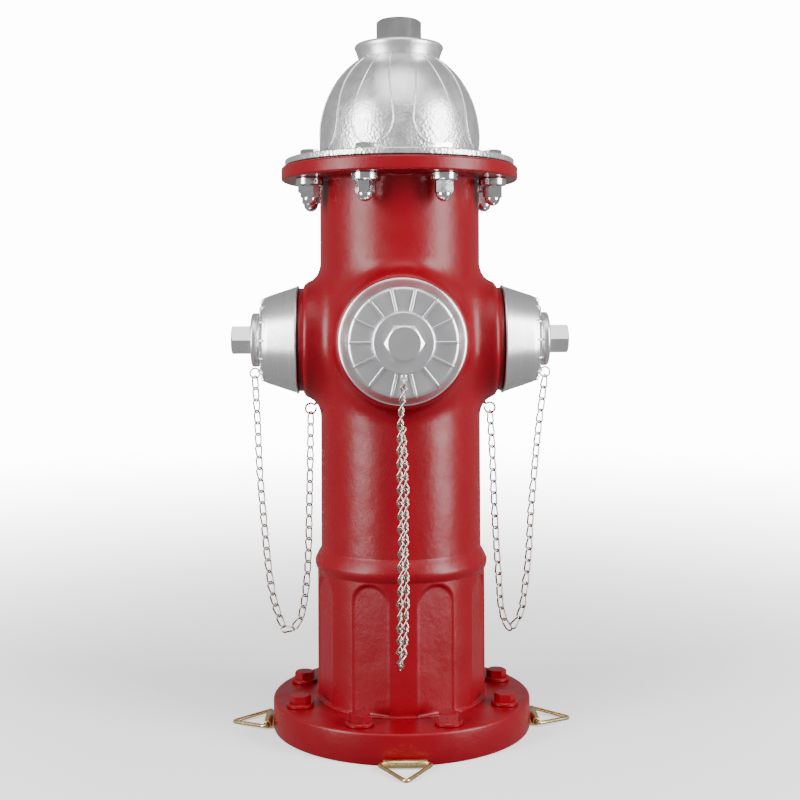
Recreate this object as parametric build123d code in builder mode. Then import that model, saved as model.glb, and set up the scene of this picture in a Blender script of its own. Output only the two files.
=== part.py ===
"""Fire hydrant with three capped outlets, a screw-down main valve and four tie-down rings.

Millimetres, +Z up. The origin is the centre of the base flange's underside, on the ground.
The large front outlet faces -Y and the two hose outlets face -X and +X.
"""
from build123d import *
from math import atan2, cos, degrees, radians, sin, sqrt
import os

os.makedirs("parts", exist_ok=True)

# ---------------------------------------------------------------- driving dimensions
# Clearances
running_gap = 0.3          # radial gap of every moving round fit
flat_gap = 0.1             # axial gap of turning faces

# Base flange and its bolts
base_r = 135.0
base_t = 31.0
base_edge_r = 2.5
riser_socket_r = 57.5
riser_socket_depth = 12.0
base_bolt_circle_r = 113.5
base_bolt_count = 8
base_bolt_r = 6.0
base_bolt_af = 19.0
base_bolt_head_t = 7.5
base_bolt_tip_z = 3.0
base_washer_r = 14.0
base_washer_t = 4.0

# Pedestal (lower standpipe) with its arched recesses and its bead
pedestal_r = 88.0
pedestal_wall = 10.0
recess_count = 8
recess_width = 39.0
recess_depth = 3.0
recess_to_bead = 4.0
bead_bottom_z = 165.0
bead_r = 90.6
bead_drop = 9.5            # height of the bead below its widest line
bead_rise = 12.5           # height of the bead above its widest line

# Barrel (6 inch pipe) and its top flange
barrel_r = 84.15
barrel_wall = 7.1
flange_bottom_z = 571.8
flange_t = 14.2
flange_r = 124.7
flange_edge_r = 2.5

# Outlets
outlet_z = 405.0
boss_reach = 101.8         # from the hydrant's axis to each boss's end face
boss_edge_r = 5.0
boss_blend_r = 8.0
side_boss_r = 59.5
front_boss_r = 67.0
neck_length = 4.4          # red neck that each cap stops against
neck_inset = 5.0           # how far the neck lies inside its boss
side_bore_r = 31.75        # 2 1/2 inch hose outlet
side_thread_r = 38.95      # 2 1/2 inch hose thread, outside
front_bore_r = 38.1        # 3 inch hose outlet
front_thread_r = 46.0      # 3 inch hose thread, outside
thread_length = 24.0
nozzle_flange_t = 3.0
nozzle_flange_lip = 4.0
nozzle_root_z = 72.0       # inner end of each nozzle, from the hydrant's axis
nozzle_wall = 4.5
gasket_t = 3.0

# Caps
side_cap_big_r = 57.2
side_cap_small_r = 44.5
front_cap_big_r = 62.5
front_cap_small_r = 53.6
cap_rim_t = 1.5
cap_gap = 0.8              # between the neck's face and the cap's mouth
cap_length = 37.7
cap_edge_r = 4.0
cap_rib_count = 14
cap_rib_w = 2.4
cap_rib_h = 2.0
side_disc_r = 28.4
front_disc_r = 30.1
cap_disc_t = 7.6
cap_disc_edge_r = 2.5
cap_hex_length = 21.2
side_hex_af = 29.0
front_hex_af = 32.8
hex_chamfer = 1.6
loop_t = 4.0               # swivel loop that carries the chain
loop_inset = 0.7           # how far the loop lies inside the disc
loop_w = 4.0
lug_r = 3.1                # half width of the tab bent out of the loop
lug_t = 1.2
lug_reach = 2.5            # chain hole's centre, beyond the tab's flat root
lug_below_disc = 4.0       # from the disc's rim to the chain hole
lug_root = 2.9             # from the bend to the chain hole
lug_hole_r = 1.9

# Bonnet
gasket_sheet_t = 1.5
gasket_sheet_r = 117.0
bonnet_flange_r = 121.0
bonnet_flange_t = 6.5
dome_r = 84.4
dome_skirt_h = 23.0        # straight skirt under the dome
dome_rise = 95.5
dome_wall = 6.0
hub_plate_t = 9.0          # metal over the dome's hollow, around the nut's bore
petal_count = 8
petal_raise = 0.9
petal_root = 1.5           # how far each petal reaches into the dome
petal_width = 45.0
petal_top_width = 14.5
petal_widest_h = 12.0      # petals are widest this far above the skirt
petal_bottom_h = 15.0      # and end this far below its top
bonnet_bolt_circle_r = 102.0
bonnet_bolt_count = 8
bonnet_turn_deg = 1.7      # bonnet and its bolts stand this far round from the outlets
bonnet_bolt_r = 5.0
bonnet_bolt_af = 17.0
bonnet_head_t = 5.2
bonnet_top_washer_r = 11.0
bonnet_top_washer_t = 1.6
lower_washer_r = 14.2
lower_washer_t = 8.0
acorn_hex_t = 12.5
acorn_cap_t = 8.5

# Hold-down collar and operating nut
collar_low_r = 42.7
collar_high_r = 47.2
collar_h = 17.0
collar_edge_r = 3.5
collar_lid_t = 5.0
hub_ring_r = 36.0
nut_flange_r = 30.0
nut_flange_t = 5.0
nut_neck_r = 22.0
nut_shank_r = 17.0
nut_shank_h = 44.4         # nut's shank below the bonnet's hub
nut_hex_af = 41.3
nut_hex_h = 25.0
nut_hex_start = 1.2        # hexagon's underside above the collar
nut_crown = 7.0            # metal left above the blind thread
thrust_washer_t = 2.0
seal_gap = 2.6
o_ring_wire_r = 1.5
o_ring_pitch = 12.0

# Stem, guide, main valve and seat
stem_thread_r = 12.0
stem_thread_length = 130.0
stem_top_drop = 9.4        # stem's top below the bonnet's hub
stem_square = 20.0
stem_square_down = 40.0    # stem's square, below and above the guide
stem_square_up = 25.0
stem_rod_r = 11.0
guide_z = 520.0
guide_t = 12.0
guide_ring_w = 7.0
guide_hub_r = 22.0
guide_arm_w = 10.0
guide_arms = 4
seat_r = 66.0
seat_bore_r = 50.0
seat_t = 14.0
valve_rubber_r = 57.0
valve_rubber_t = 11.0
valve_plate_r = 53.0
valve_plate_t = 8.0
lower_plate_r = 46.0
lower_plate_t = 6.0
stem_nut_af = 30.0
stem_nut_t = 6.0
stem_tail = 1.4            # thread left below the valve nut

# Chain eyes in the barrel
eye_out = 94.9             # from the hydrant's axis to the eye's centre
eye_drop = 13.3            # below the boss
eye_ring_r = 5.5
eye_wire_r = 1.0
eye_gap_deg = 36.0
eye_shank_r = 1.3
eye_cone_r = 2.2
eye_shank_end = 18.5

# Tie-down rings and their straps
strap_count = 4
strap_length = 42.0
strap_t = 1.6
strap_ground_gap = 0.9
strap_inner_r = 112.0
sleeve_r = 4.0
sleeve_out = 140.5         # sleeve's centre from the hydrant's axis
ring_wire_r = 1.9
ring_width = 54.0
ring_reach = 38.2
ring_bend_r = 2.8
strap_screw_r = 2.0
strap_screw_head_r = 3.6
strap_screw_length = 12.0
strap_screw_spacing = 26.0
strap_screw_out = 122.0

# Chains
link_wire_r = 0.9
link_width = 8.8
link_inner_length = 12.6
link_play = 0.25           # smallest gap between two linked wires
end_ring_r = 5.15
end_ring_out = 4.3         # end ring's centre, beyond the chain hole
end_ring_drop = 2.8        # and below it
# Route of each chain from its cap to its eye: distance from the hydrant's axis, height, sideways
chain_routes = {
    "left": [(152.5, 344.8, 0.6), (151.2, 320.5, 0.9), (149.4, 271.7, -0.4), (145.9, 224.0, -0.8),
             (141.7, 178.4, 0.5), (135.2, 132.8, 1.2), (129.4, 112.7, 0.8), (120.0, 98.9, 0.0),
             (109.7, 105.7, -0.6), (104.8, 118.0, -0.8), (100.2, 148.7, -0.2), (97.2, 216.6, 0.8),
             (96.0, 265.3, 0.5)],
    "right": [(151.0, 345.0, -0.5), (147.0, 315.0, -0.8), (143.4, 280.0, 0.3), (140.9, 251.0, 0.9),
              (138.3, 222.0, 0.6), (135.6, 178.0, -0.4), (129.8, 129.0, -0.9), (123.6, 107.5, -0.6),
              (115.3, 98.9, 0.2), (108.6, 110.0, 0.7), (104.6, 137.0, 0.6), (100.7, 197.5, -0.5),
              (98.3, 254.7, -0.7), (96.6, 301.4, 0.0)],
    "front": [(152.4, 342.0, -2.6), (151.2, 305.0, -4.2), (148.9, 260.0, -4.0), (145.4, 212.0, -3.4),
              (140.4, 163.0, -4.4), (134.0, 120.0, -5.0), (127.2, 99.5, -4.8), (118.3, 90.6, -3.6),
              (109.6, 98.0, -0.8), (105.0, 117.0, 1.4), (101.2, 155.0, 2.8), (98.4, 205.0, 2.2),
              (96.6, 255.0, 2.9), (95.4, 296.0, 1.6)],
}

# ---------------------------------------------------------------- derived positions
base_bolt_start_deg = 360 / base_bolt_count / 2
bonnet_bolt_start_deg = 360 / bonnet_bolt_count / 2 + bonnet_turn_deg
bead_widest_z = bead_bottom_z + bead_drop
bead_top_z = bead_widest_z + bead_rise
barrel_bore_r = barrel_r - barrel_wall
pedestal_bore_r = pedestal_r - pedestal_wall
flange_top_z = flange_bottom_z + flange_t
gasket_top_z = flange_top_z + gasket_sheet_t
bonnet_flange_top_z = gasket_top_z + bonnet_flange_t
dome_spring_z = bonnet_flange_top_z + dome_skirt_h
petal_widest_z = dome_spring_z + petal_widest_h
petal_bottom_z = dome_spring_z - petal_bottom_h
hub_z = dome_spring_z + dome_rise * sqrt(1 - (collar_low_r / dome_r) ** 2)
nut_shank_end_z = hub_z - nut_shank_h
stem_top_z = hub_z - stem_top_drop
stem_square_low_z = guide_z - stem_square_down
stem_square_high_z = guide_z + stem_square_up
nut_flange_z = hub_z + thrust_washer_t + flat_gap
nut_flange_top_z = nut_flange_z + nut_flange_t
collar_top_z = hub_z + collar_h
collar_lid_z = collar_top_z - collar_lid_t
nut_hex_z = collar_top_z + nut_hex_start
nut_top_z = nut_hex_z + nut_hex_h
seat_z = riser_socket_depth
seat_top_z = seat_z + seat_t
valve_top_z = seat_top_z + valve_rubber_t + valve_plate_t
neck_end = boss_reach + neck_length
cap_mouth = neck_end + cap_gap
cap_face = cap_mouth + cap_length
disc_start = cap_face + loop_t + 2 * flat_gap
disc_end = disc_start + cap_disc_t
hex_end = disc_end + cap_hex_length
lug_start = cap_face + cap_rib_h + 2 * flat_gap
thread_end = neck_end + nozzle_flange_t + thread_length
cap_floor = thread_end + gasket_t


def axial_plane(outward):
    """Sketch plane through an outlet's axis: x is up, y runs outward."""
    return Plane(origin=(0, 0, outlet_z), x_dir=(0, 0, 1), z_dir=Vector(0, 0, 1).cross(outward))


def face_plane(outward, distance):
    """Sketch plane square to an outlet's axis, at a distance from the hydrant's axis."""
    return Plane(origin=Vector(0, 0, outlet_z) + outward * distance, x_dir=(0, 0, 1), z_dir=outward)


def outlet_axis(outward):
    return Axis((0, 0, outlet_z), outward)


def tube(outer_r, inner_r, bottom_z, top_z):
    """Plain ring about the hydrant's axis."""
    with BuildPart() as piece:
        with BuildSketch(Plane.XY.offset(bottom_z)):
            Circle(outer_r)
            Circle(inner_r, mode=Mode.SUBTRACT)
        extrude(amount=top_z - bottom_z)
    return piece.part


outlets = {
    "left": (Vector(-1, 0, 0), side_boss_r, side_bore_r, side_thread_r),
    "right": (Vector(1, 0, 0), side_boss_r, side_bore_r, side_thread_r),
    "front": (Vector(0, -1, 0), front_boss_r, front_bore_r, front_thread_r),
}
cap_sizes = {
    "left": (side_cap_big_r, side_cap_small_r, side_disc_r, side_hex_af),
    "right": (side_cap_big_r, side_cap_small_r, side_disc_r, side_hex_af),
    "front": (front_cap_big_r, front_cap_small_r, front_disc_r, front_hex_af),
}


def eye_place(side):
    """Centre of a chain eye, and the unit vector from it into the casting, up and inward."""
    outward, boss_r = outlets[side][0], outlets[side][1]
    centre = Vector(0, 0, outlet_z - boss_r - eye_drop) + outward * eye_out
    inward = (Vector(0, 0, 1) - outward).normalized()
    return centre, inward


# ---------------------------------------------------------------- base flange
with BuildPart() as base_flange:
    with BuildSketch():
        Circle(base_r)
        Circle(riser_socket_r, mode=Mode.SUBTRACT)
    extrude(amount=base_t)
    with BuildSketch(Plane.XY.offset(seat_z)):
        Circle(seat_r)
    extrude(amount=base_t - seat_z, mode=Mode.SUBTRACT)
    fillet(base_flange.edges().filter_by(GeomType.CIRCLE).group_by(Axis.Z)[-1].sort_by(SortBy.RADIUS)[-1],
           base_edge_r)
    with BuildSketch(Plane.XY.offset(base_bolt_tip_z)):
        with PolarLocations(base_bolt_circle_r, base_bolt_count, base_bolt_start_deg):
            Circle(base_bolt_r)
    extrude(amount=base_t, mode=Mode.SUBTRACT)
    with BuildSketch():
        with PolarLocations((strap_inner_r + base_r) / 2, strap_count):
            Rectangle(base_r - strap_inner_r + 2 * sleeve_r, strap_length + 1)
    extrude(amount=strap_ground_gap + strap_t, mode=Mode.SUBTRACT)
    with BuildSketch():
        for turn in range(strap_count):
            for offset in (-strap_screw_spacing / 2, strap_screw_spacing / 2):
                place = Vector(strap_screw_out, offset, 0).rotate(Axis.Z, 360 / strap_count * turn)
                with Locations(place):
                    Circle(strap_screw_r)
    extrude(amount=strap_screw_length + strap_t, mode=Mode.SUBTRACT)
base_flange.part.label = "base_flange"
export_step(base_flange.part, "parts/base_flange.step")

# ---------------------------------------------------------------- pedestal
recess_half = recess_width / 2
recess_top_z = bead_bottom_z - recess_to_bead
with BuildPart() as pedestal:
    with BuildSketch(Plane.XZ):
        with BuildLine():
            Polyline((pedestal_bore_r, base_t), (pedestal_r, base_t), (pedestal_r, bead_bottom_z))
            ThreePointArc((pedestal_r, bead_bottom_z),
                          (bead_r - 0.7, bead_widest_z - bead_drop / 2),
                          (bead_r, bead_widest_z))
            ThreePointArc((bead_r, bead_widest_z),
                          (bead_r - 1.6, bead_widest_z + bead_rise / 2),
                          (barrel_r + 0.6, bead_top_z))
            Polyline((barrel_r + 0.6, bead_top_z), (barrel_r, bead_top_z), (barrel_r, bead_bottom_z),
                     (pedestal_bore_r, bead_bottom_z), (pedestal_bore_r, base_t))
        make_face()
    revolve(axis=Axis.Z)
    for number in range(recess_count):
        azimuth = 360 / recess_count * (number + 0.5)
        facing = Plane(origin=(0, 0, 0), x_dir=(-sin(radians(azimuth)), cos(radians(azimuth)), 0),
                       z_dir=(cos(radians(azimuth)), sin(radians(azimuth)), 0))
        with BuildSketch(facing.offset(pedestal_r - recess_depth)):
            with BuildLine():
                Polyline((-recess_half, recess_top_z - recess_half), (-recess_half, base_t),
                         (recess_half, base_t), (recess_half, recess_top_z - recess_half))
                RadiusArc((recess_half, recess_top_z - recess_half),
                          (-recess_half, recess_top_z - recess_half), -recess_half)
            make_face()
        extrude(amount=2 * recess_depth, mode=Mode.SUBTRACT)
pedestal.part.label = "pedestal"
export_step(pedestal.part, "parts/pedestal.step")

# ---------------------------------------------------------------- barrel
with BuildPart() as barrel:
    with BuildSketch(Plane.XY.offset(bead_bottom_z)):
        Circle(barrel_r)
    extrude(amount=flange_top_z - bead_bottom_z)
    for outward, boss_r, bore_r, thread_r in outlets.values():
        with BuildSketch(face_plane(outward, 0)):
            Circle(boss_r)
        extrude(amount=boss_reach)
    blends = [edge for edge in barrel.edges()
              if edge.geom_type not in (GeomType.CIRCLE, GeomType.LINE)
              and abs(edge.center().Z - outlet_z) < 2 * front_boss_r]
    fillet(blends, boss_blend_r)
    for outward, boss_r, bore_r, thread_r in outlets.values():
        rim = [edge for edge in barrel.edges().filter_by(GeomType.CIRCLE)
               if abs((edge.arc_center - Vector(0, 0, outlet_z)).dot(outward) - boss_reach) < 0.01]
        fillet(rim, boss_edge_r)
        with BuildSketch(face_plane(outward, boss_reach)):
            Circle(boss_r - neck_inset)
        extrude(amount=neck_length)
    with BuildSketch(Plane.XY.offset(bead_bottom_z)):
        Circle(barrel_bore_r)
    extrude(amount=flange_top_z - bead_bottom_z, mode=Mode.SUBTRACT)
    for side, (outward, boss_r, bore_r, thread_r) in outlets.items():
        with BuildSketch(face_plane(outward, 0)):
            Circle(bore_r + nozzle_wall)
        extrude(amount=neck_end, mode=Mode.SUBTRACT)
        eye_centre, eye_inward = eye_place(side)
        with BuildSketch(Plane(origin=eye_centre, z_dir=eye_inward)):
            Circle(eye_shank_r)
        extrude(amount=eye_shank_end, mode=Mode.SUBTRACT)
barrel.part.label = "barrel"
export_step(barrel.part, "parts/barrel.step")

# ---------------------------------------------------------------- top flange, sheet gasket
with BuildPart() as top_flange:
    with BuildSketch(Plane.XY.offset(flange_bottom_z)):
        Circle(flange_r)
        Circle(barrel_r, mode=Mode.SUBTRACT)
        with PolarLocations(bonnet_bolt_circle_r, bonnet_bolt_count, bonnet_bolt_start_deg):
            Circle(bonnet_bolt_r, mode=Mode.SUBTRACT)
    extrude(amount=flange_t)
    outer_edges = [edge for edge in top_flange.edges().filter_by(GeomType.CIRCLE)
                   if edge.radius > flange_r - 1]
    fillet(outer_edges, flange_edge_r)
top_flange.part.label = "top_flange"
export_step(top_flange.part, "parts/top_flange.step")

with BuildPart() as bonnet_gasket:
    with BuildSketch(Plane.XY.offset(flange_top_z)):
        Circle(gasket_sheet_r)
        Circle(barrel_bore_r, mode=Mode.SUBTRACT)
        with PolarLocations(bonnet_bolt_circle_r, bonnet_bolt_count, bonnet_bolt_start_deg):
            Circle(bonnet_bolt_r, mode=Mode.SUBTRACT)
    extrude(amount=gasket_sheet_t)
bonnet_gasket.part.label = "bonnet_gasket"
export_step(bonnet_gasket.part, "parts/bonnet_gasket.step")

# ---------------------------------------------------------------- bonnet
bore_in_hub_r = nut_shank_r + running_gap
hub_skirt_r = bore_in_hub_r + 8


def dome_height(outer_r, rise, radius):
    """Height of a dome profile at a radius."""
    return dome_spring_z + rise * sqrt(1 - (radius / outer_r) ** 2)


def dome_curve(outer_r, rise, radius):
    """Dome profile from its spring line in to a radius, as the points and end tangents of a spline."""
    last = atan2(sqrt(1 - (radius / outer_r) ** 2), radius / outer_r)
    angles = [last * step / 8 for step in range(9)]
    points = [(outer_r * cos(angle), dome_spring_z + rise * sin(angle)) for angle in angles]
    return points, [(0, 1), (-outer_r * sin(last), rise * cos(last))]


inner_dome_r = dome_r - dome_wall
inner_dome_rise = hub_z - hub_plate_t - dome_spring_z
with BuildPart() as bonnet:
    with BuildSketch(Plane.XZ):
        with BuildLine():
            Polyline((inner_dome_r, gasket_top_z), (bonnet_flange_r, gasket_top_z),
                     (bonnet_flange_r, bonnet_flange_top_z), (dome_r, bonnet_flange_top_z),
                     (dome_r, dome_spring_z))
            points, tangents = dome_curve(dome_r, dome_rise, collar_low_r)
            Spline(points, tangents=tangents)
            inner_start = (hub_skirt_r, dome_height(inner_dome_r, inner_dome_rise, hub_skirt_r))
            Polyline((collar_low_r, hub_z), (bore_in_hub_r, hub_z),
                     (bore_in_hub_r, nut_shank_end_z), (hub_skirt_r, nut_shank_end_z), inner_start)
            points, tangents = dome_curve(inner_dome_r, inner_dome_rise, hub_skirt_r)
            Spline(points, tangents=tangents)
            Line((inner_dome_r, dome_spring_z), (inner_dome_r, gasket_top_z))
        make_face()
    revolve(axis=Axis.Z)
    with BuildSketch(Plane.XY.offset(hub_z)):
        Circle(hub_ring_r)
        Circle(nut_flange_r + 2 * running_gap, mode=Mode.SUBTRACT)
    extrude(amount=collar_lid_z - hub_z - flat_gap)
    with BuildSketch(Plane.XY.offset(gasket_top_z)):
        with PolarLocations(bonnet_bolt_circle_r, bonnet_bolt_count, bonnet_bolt_start_deg):
            Circle(bonnet_bolt_r)
    extrude(amount=bonnet_flange_t, mode=Mode.SUBTRACT)
    for level in range(2):
        with BuildSketch(Plane.XZ):
            with Locations((bore_in_hub_r + o_ring_wire_r, hub_z - o_ring_pitch * (level + 1))):
                Rectangle(2 * o_ring_wire_r, 2 * o_ring_wire_r + 0.4)
        revolve(axis=Axis.Z, mode=Mode.SUBTRACT)

skin_inner_r = dome_r - petal_root
skin_inner_rise = dome_rise - petal_root
skin_outer_r = dome_r + petal_raise
skin_outer_rise = dome_rise + petal_raise
with BuildPart() as petal_skin:
    with BuildSketch(Plane.XZ):
        with BuildLine():
            points, tangents = dome_curve(skin_inner_r, skin_inner_rise, hub_ring_r)
            Spline(points, tangents=tangents)
            Line((hub_ring_r, dome_height(skin_inner_r, skin_inner_rise, hub_ring_r)),
                 (hub_ring_r, dome_height(skin_outer_r, skin_outer_rise, hub_ring_r)))
            points, tangents = dome_curve(skin_outer_r, skin_outer_rise, hub_ring_r)
            Spline(points, tangents=tangents)
            Polyline((skin_outer_r, dome_spring_z), (skin_outer_r, bonnet_flange_top_z),
                     (skin_inner_r, bonnet_flange_top_z), (skin_inner_r, dome_spring_z))
        make_face()
    revolve(axis=Axis.Z)

with BuildPart() as petal_cutter:
    for number in range(petal_count):
        azimuth = 360 / petal_count * (number + 0.5) + bonnet_turn_deg
        facing = Plane(origin=(0, 0, 0), x_dir=(-sin(radians(azimuth)), cos(radians(azimuth)), 0),
                       z_dir=(cos(radians(azimuth)), sin(radians(azimuth)), 0))
        with BuildSketch(facing.offset(collar_low_r * 0.7)):
            with BuildLine():
                top_corner = (petal_top_width / 2, hub_z)
                widest = (petal_width / 2, petal_widest_z)
                Spline((-widest[0], widest[1]), (0, petal_bottom_z), widest,
                       tangents=[(0, -1), (0, 1)])
                Spline(widest, top_corner, tangents=[(0, 1), (-0.2, 1)])
                Line(top_corner, (-top_corner[0], hub_z))
                Spline((-top_corner[0], hub_z), (-widest[0], widest[1]),
                       tangents=[(-0.2, -1), (0, -1)])
            make_face()
        extrude(amount=dome_r)
petals = petal_skin.part & petal_cutter.part
with bonnet:
    add(petals)
bonnet.part.label = "bonnet"
export_step(bonnet.part, "parts/bonnet.step")

# ---------------------------------------------------------------- bonnet fasteners
with BuildPart() as bonnet_top_washers:
    with BuildSketch(Plane.XY.offset(bonnet_flange_top_z)):
        with PolarLocations(bonnet_bolt_circle_r, bonnet_bolt_count, bonnet_bolt_start_deg):
            Circle(bonnet_top_washer_r)
            Circle(bonnet_bolt_r, mode=Mode.SUBTRACT)
    extrude(amount=bonnet_top_washer_t)
bonnet_top_washers.part.label = "bonnet_top_washers"
export_step(bonnet_top_washers.part, "parts/bonnet_top_washers.step")

head_z = bonnet_flange_top_z + bonnet_top_washer_t
nut_seat_z = flange_bottom_z - lower_washer_t
bolt_tip_z = nut_seat_z - acorn_hex_t
with BuildPart() as bonnet_bolts:
    with BuildSketch(Plane.XY.offset(head_z)):
        with PolarLocations(bonnet_bolt_circle_r, bonnet_bolt_count, bonnet_bolt_start_deg):
            RegularPolygon(bonnet_bolt_af / 2, 6, major_radius=False)
    extrude(amount=bonnet_head_t)
    with BuildSketch(Plane.XY.offset(bolt_tip_z)):
        with PolarLocations(bonnet_bolt_circle_r, bonnet_bolt_count, bonnet_bolt_start_deg):
            Circle(bonnet_bolt_r)
    extrude(amount=head_z - bolt_tip_z)
bonnet_bolts.part.label = "bonnet_bolts"
export_step(bonnet_bolts.part, "parts/bonnet_bolts.step")

with BuildPart() as bonnet_lower_washers:
    with BuildSketch(Plane.XY.offset(nut_seat_z)):
        with PolarLocations(bonnet_bolt_circle_r, bonnet_bolt_count, bonnet_bolt_start_deg):
            Circle(lower_washer_r)
            Circle(bonnet_bolt_r, mode=Mode.SUBTRACT)
    extrude(amount=lower_washer_t)
bonnet_lower_washers.part.label = "bonnet_lower_washers"
export_step(bonnet_lower_washers.part, "parts/bonnet_lower_washers.step")

acorn_r = bonnet_bolt_af / 2 - 0.3
acorn_tip_r = 1.0
acorn_angles = [radians(15 * step) for step in range(7)]
acorn_points = [
    (acorn_tip_r + (acorn_r - acorn_tip_r) * cos(angle), -acorn_cap_t * sin(angle)) for angle in acorn_angles
]
with BuildPart() as acorn_nuts:
    with BuildSketch(Plane.XY.offset(bolt_tip_z)):
        with PolarLocations(bonnet_bolt_circle_r, bonnet_bolt_count, bonnet_bolt_start_deg):
            RegularPolygon(bonnet_bolt_af / 2, 6, major_radius=False)
            Circle(bonnet_bolt_r, mode=Mode.SUBTRACT)
    extrude(amount=acorn_hex_t)
    for number in range(bonnet_bolt_count):
        place = Vector(bonnet_bolt_circle_r, 0, bolt_tip_z)
        place = place.rotate(Axis.Z, bonnet_bolt_start_deg + 360 / bonnet_bolt_count * number)
        with BuildSketch(Plane(origin=place, x_dir=(1, 0, 0), z_dir=(0, -1, 0))):
            with BuildLine():
                Line((0, 0), (acorn_r, 0))
                Spline(*acorn_points, tangents=[(0, -1), (-1, 0)])
                Line((acorn_tip_r, -acorn_cap_t), (0, -acorn_cap_t))
                Line((0, -acorn_cap_t), (0, 0))
            make_face()
        revolve(axis=Axis(place, (0, 0, 1)))
acorn_nuts.part.label = "acorn_nuts"
export_step(acorn_nuts.part, "parts/acorn_nuts.step")

# ---------------------------------------------------------------- base fasteners
with BuildPart() as base_washers:
    with BuildSketch(Plane.XY.offset(base_t)):
        with PolarLocations(base_bolt_circle_r, base_bolt_count, base_bolt_start_deg):
            Circle(base_washer_r)
            Circle(base_bolt_r, mode=Mode.SUBTRACT)
    extrude(amount=base_washer_t)
base_washers.part.label = "base_washers"
export_step(base_washers.part, "parts/base_washers.step")

with BuildPart() as base_bolts:
    with BuildSketch(Plane.XY.offset(base_t + base_washer_t)):
        with PolarLocations(base_bolt_circle_r, base_bolt_count, base_bolt_start_deg):
            RegularPolygon(base_bolt_af / 2, 6, major_radius=False)
    extrude(amount=base_bolt_head_t)
    with BuildSketch(Plane.XY.offset(base_bolt_tip_z)):
        with PolarLocations(base_bolt_circle_r, base_bolt_count, base_bolt_start_deg):
            Circle(base_bolt_r)
    extrude(amount=base_t + base_washer_t - base_bolt_tip_z)
base_bolts.part.label = "base_bolts"
export_step(base_bolts.part, "parts/base_bolts.step")

# ---------------------------------------------------------------- collar, operating nut, seals
with BuildPart() as hold_down_collar:
    with BuildSketch(Plane.XZ):
        with BuildLine():
            Polyline((hub_ring_r, hub_z), (collar_low_r, hub_z), (collar_high_r, collar_top_z - collar_edge_r))
            ThreePointArc((collar_high_r, collar_top_z - collar_edge_r),
                          (collar_high_r - collar_edge_r * 0.3, collar_top_z - collar_edge_r * 0.3),
                          (collar_high_r - collar_edge_r, collar_top_z))
            Polyline((collar_high_r - collar_edge_r, collar_top_z), (nut_neck_r + seal_gap, collar_top_z),
                     (nut_neck_r + seal_gap, collar_lid_z), (hub_ring_r, collar_lid_z),
                     (hub_ring_r, hub_z))
        make_face()
    revolve(axis=Axis.Z)
hold_down_collar.part.label = "hold_down_collar"
export_step(hold_down_collar.part, "parts/hold_down_collar.step")

with BuildPart() as operating_nut:
    with BuildSketch(Plane.XY.offset(nut_shank_end_z)):
        Circle(nut_shank_r)
    extrude(amount=nut_flange_z - nut_shank_end_z)
    with BuildSketch(Plane.XY.offset(nut_flange_z)):
        Circle(nut_flange_r)
    extrude(amount=nut_flange_t)
    with BuildSketch(Plane.XY.offset(nut_flange_top_z)):
        Circle(nut_neck_r)
    extrude(amount=nut_hex_z - nut_flange_top_z)
    with BuildSketch(Plane.XY.offset(nut_hex_z)):
        RegularPolygon(nut_hex_af / 2, 6, major_radius=False)
    extrude(amount=nut_hex_h)
    chamfer(operating_nut.edges().group_by(Axis.Z)[-1], hex_chamfer / 2)
    with BuildSketch(Plane.XY.offset(nut_shank_end_z)):
        Circle(stem_thread_r + running_gap)
    extrude(amount=nut_top_z - nut_crown - nut_shank_end_z, mode=Mode.SUBTRACT)
operating_nut.part.label = "operating_nut"
export_step(operating_nut.part, "parts/operating_nut.step")

lower_thrust_washer = tube(nut_flange_r, nut_shank_r + running_gap, hub_z, hub_z + thrust_washer_t)
lower_thrust_washer.label = "lower_thrust_washer"
export_step(lower_thrust_washer, "parts/lower_thrust_washer.step")

upper_thrust_washer = tube(nut_flange_r, nut_neck_r + running_gap, nut_flange_top_z + flat_gap, collar_lid_z)
upper_thrust_washer.label = "upper_thrust_washer"
export_step(upper_thrust_washer, "parts/upper_thrust_washer.step")

dust_seal = tube(nut_neck_r + seal_gap, nut_neck_r + running_gap, collar_lid_z, collar_top_z)
dust_seal.label = "dust_seal"
export_step(dust_seal, "parts/dust_seal.step")

with BuildPart() as o_rings:
    for level in range(2):
        with BuildSketch(Plane.XZ):
            with Locations((bore_in_hub_r + o_ring_wire_r, hub_z - o_ring_pitch * (level + 1))):
                Circle(o_ring_wire_r - 0.01)
        revolve(axis=Axis.Z)
o_rings.part.label = "o_rings"
export_step(o_rings.part, "parts/o_rings.step")

# ---------------------------------------------------------------- stem, guide, valve, seat
lower_plate_top_z = seat_top_z
lower_plate_z = lower_plate_top_z - lower_plate_t
stem_bottom_z = lower_plate_z - stem_nut_t - stem_tail
with BuildPart() as stem:
    with BuildSketch(Plane.XY.offset(stem_bottom_z)):
        Circle(stem_rod_r)
    extrude(amount=stem_square_low_z - stem_bottom_z)
    with BuildSketch(Plane.XY.offset(stem_square_low_z)):
        Rectangle(stem_square, stem_square)
    extrude(amount=stem_square_high_z - stem_square_low_z)
    with BuildSketch(Plane.XY.offset(stem_square_high_z)):
        Circle(stem_rod_r)
    extrude(amount=stem_top_z - stem_thread_length - stem_square_high_z)
    with BuildSketch(Plane.XY.offset(stem_top_z - stem_thread_length)):
        Circle(stem_thread_r)
    extrude(amount=stem_thread_length)
    chamfer(stem.edges().group_by(Axis.Z)[-1], hex_chamfer)
stem.part.label = "stem"
export_step(stem.part, "parts/stem.step")

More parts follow.
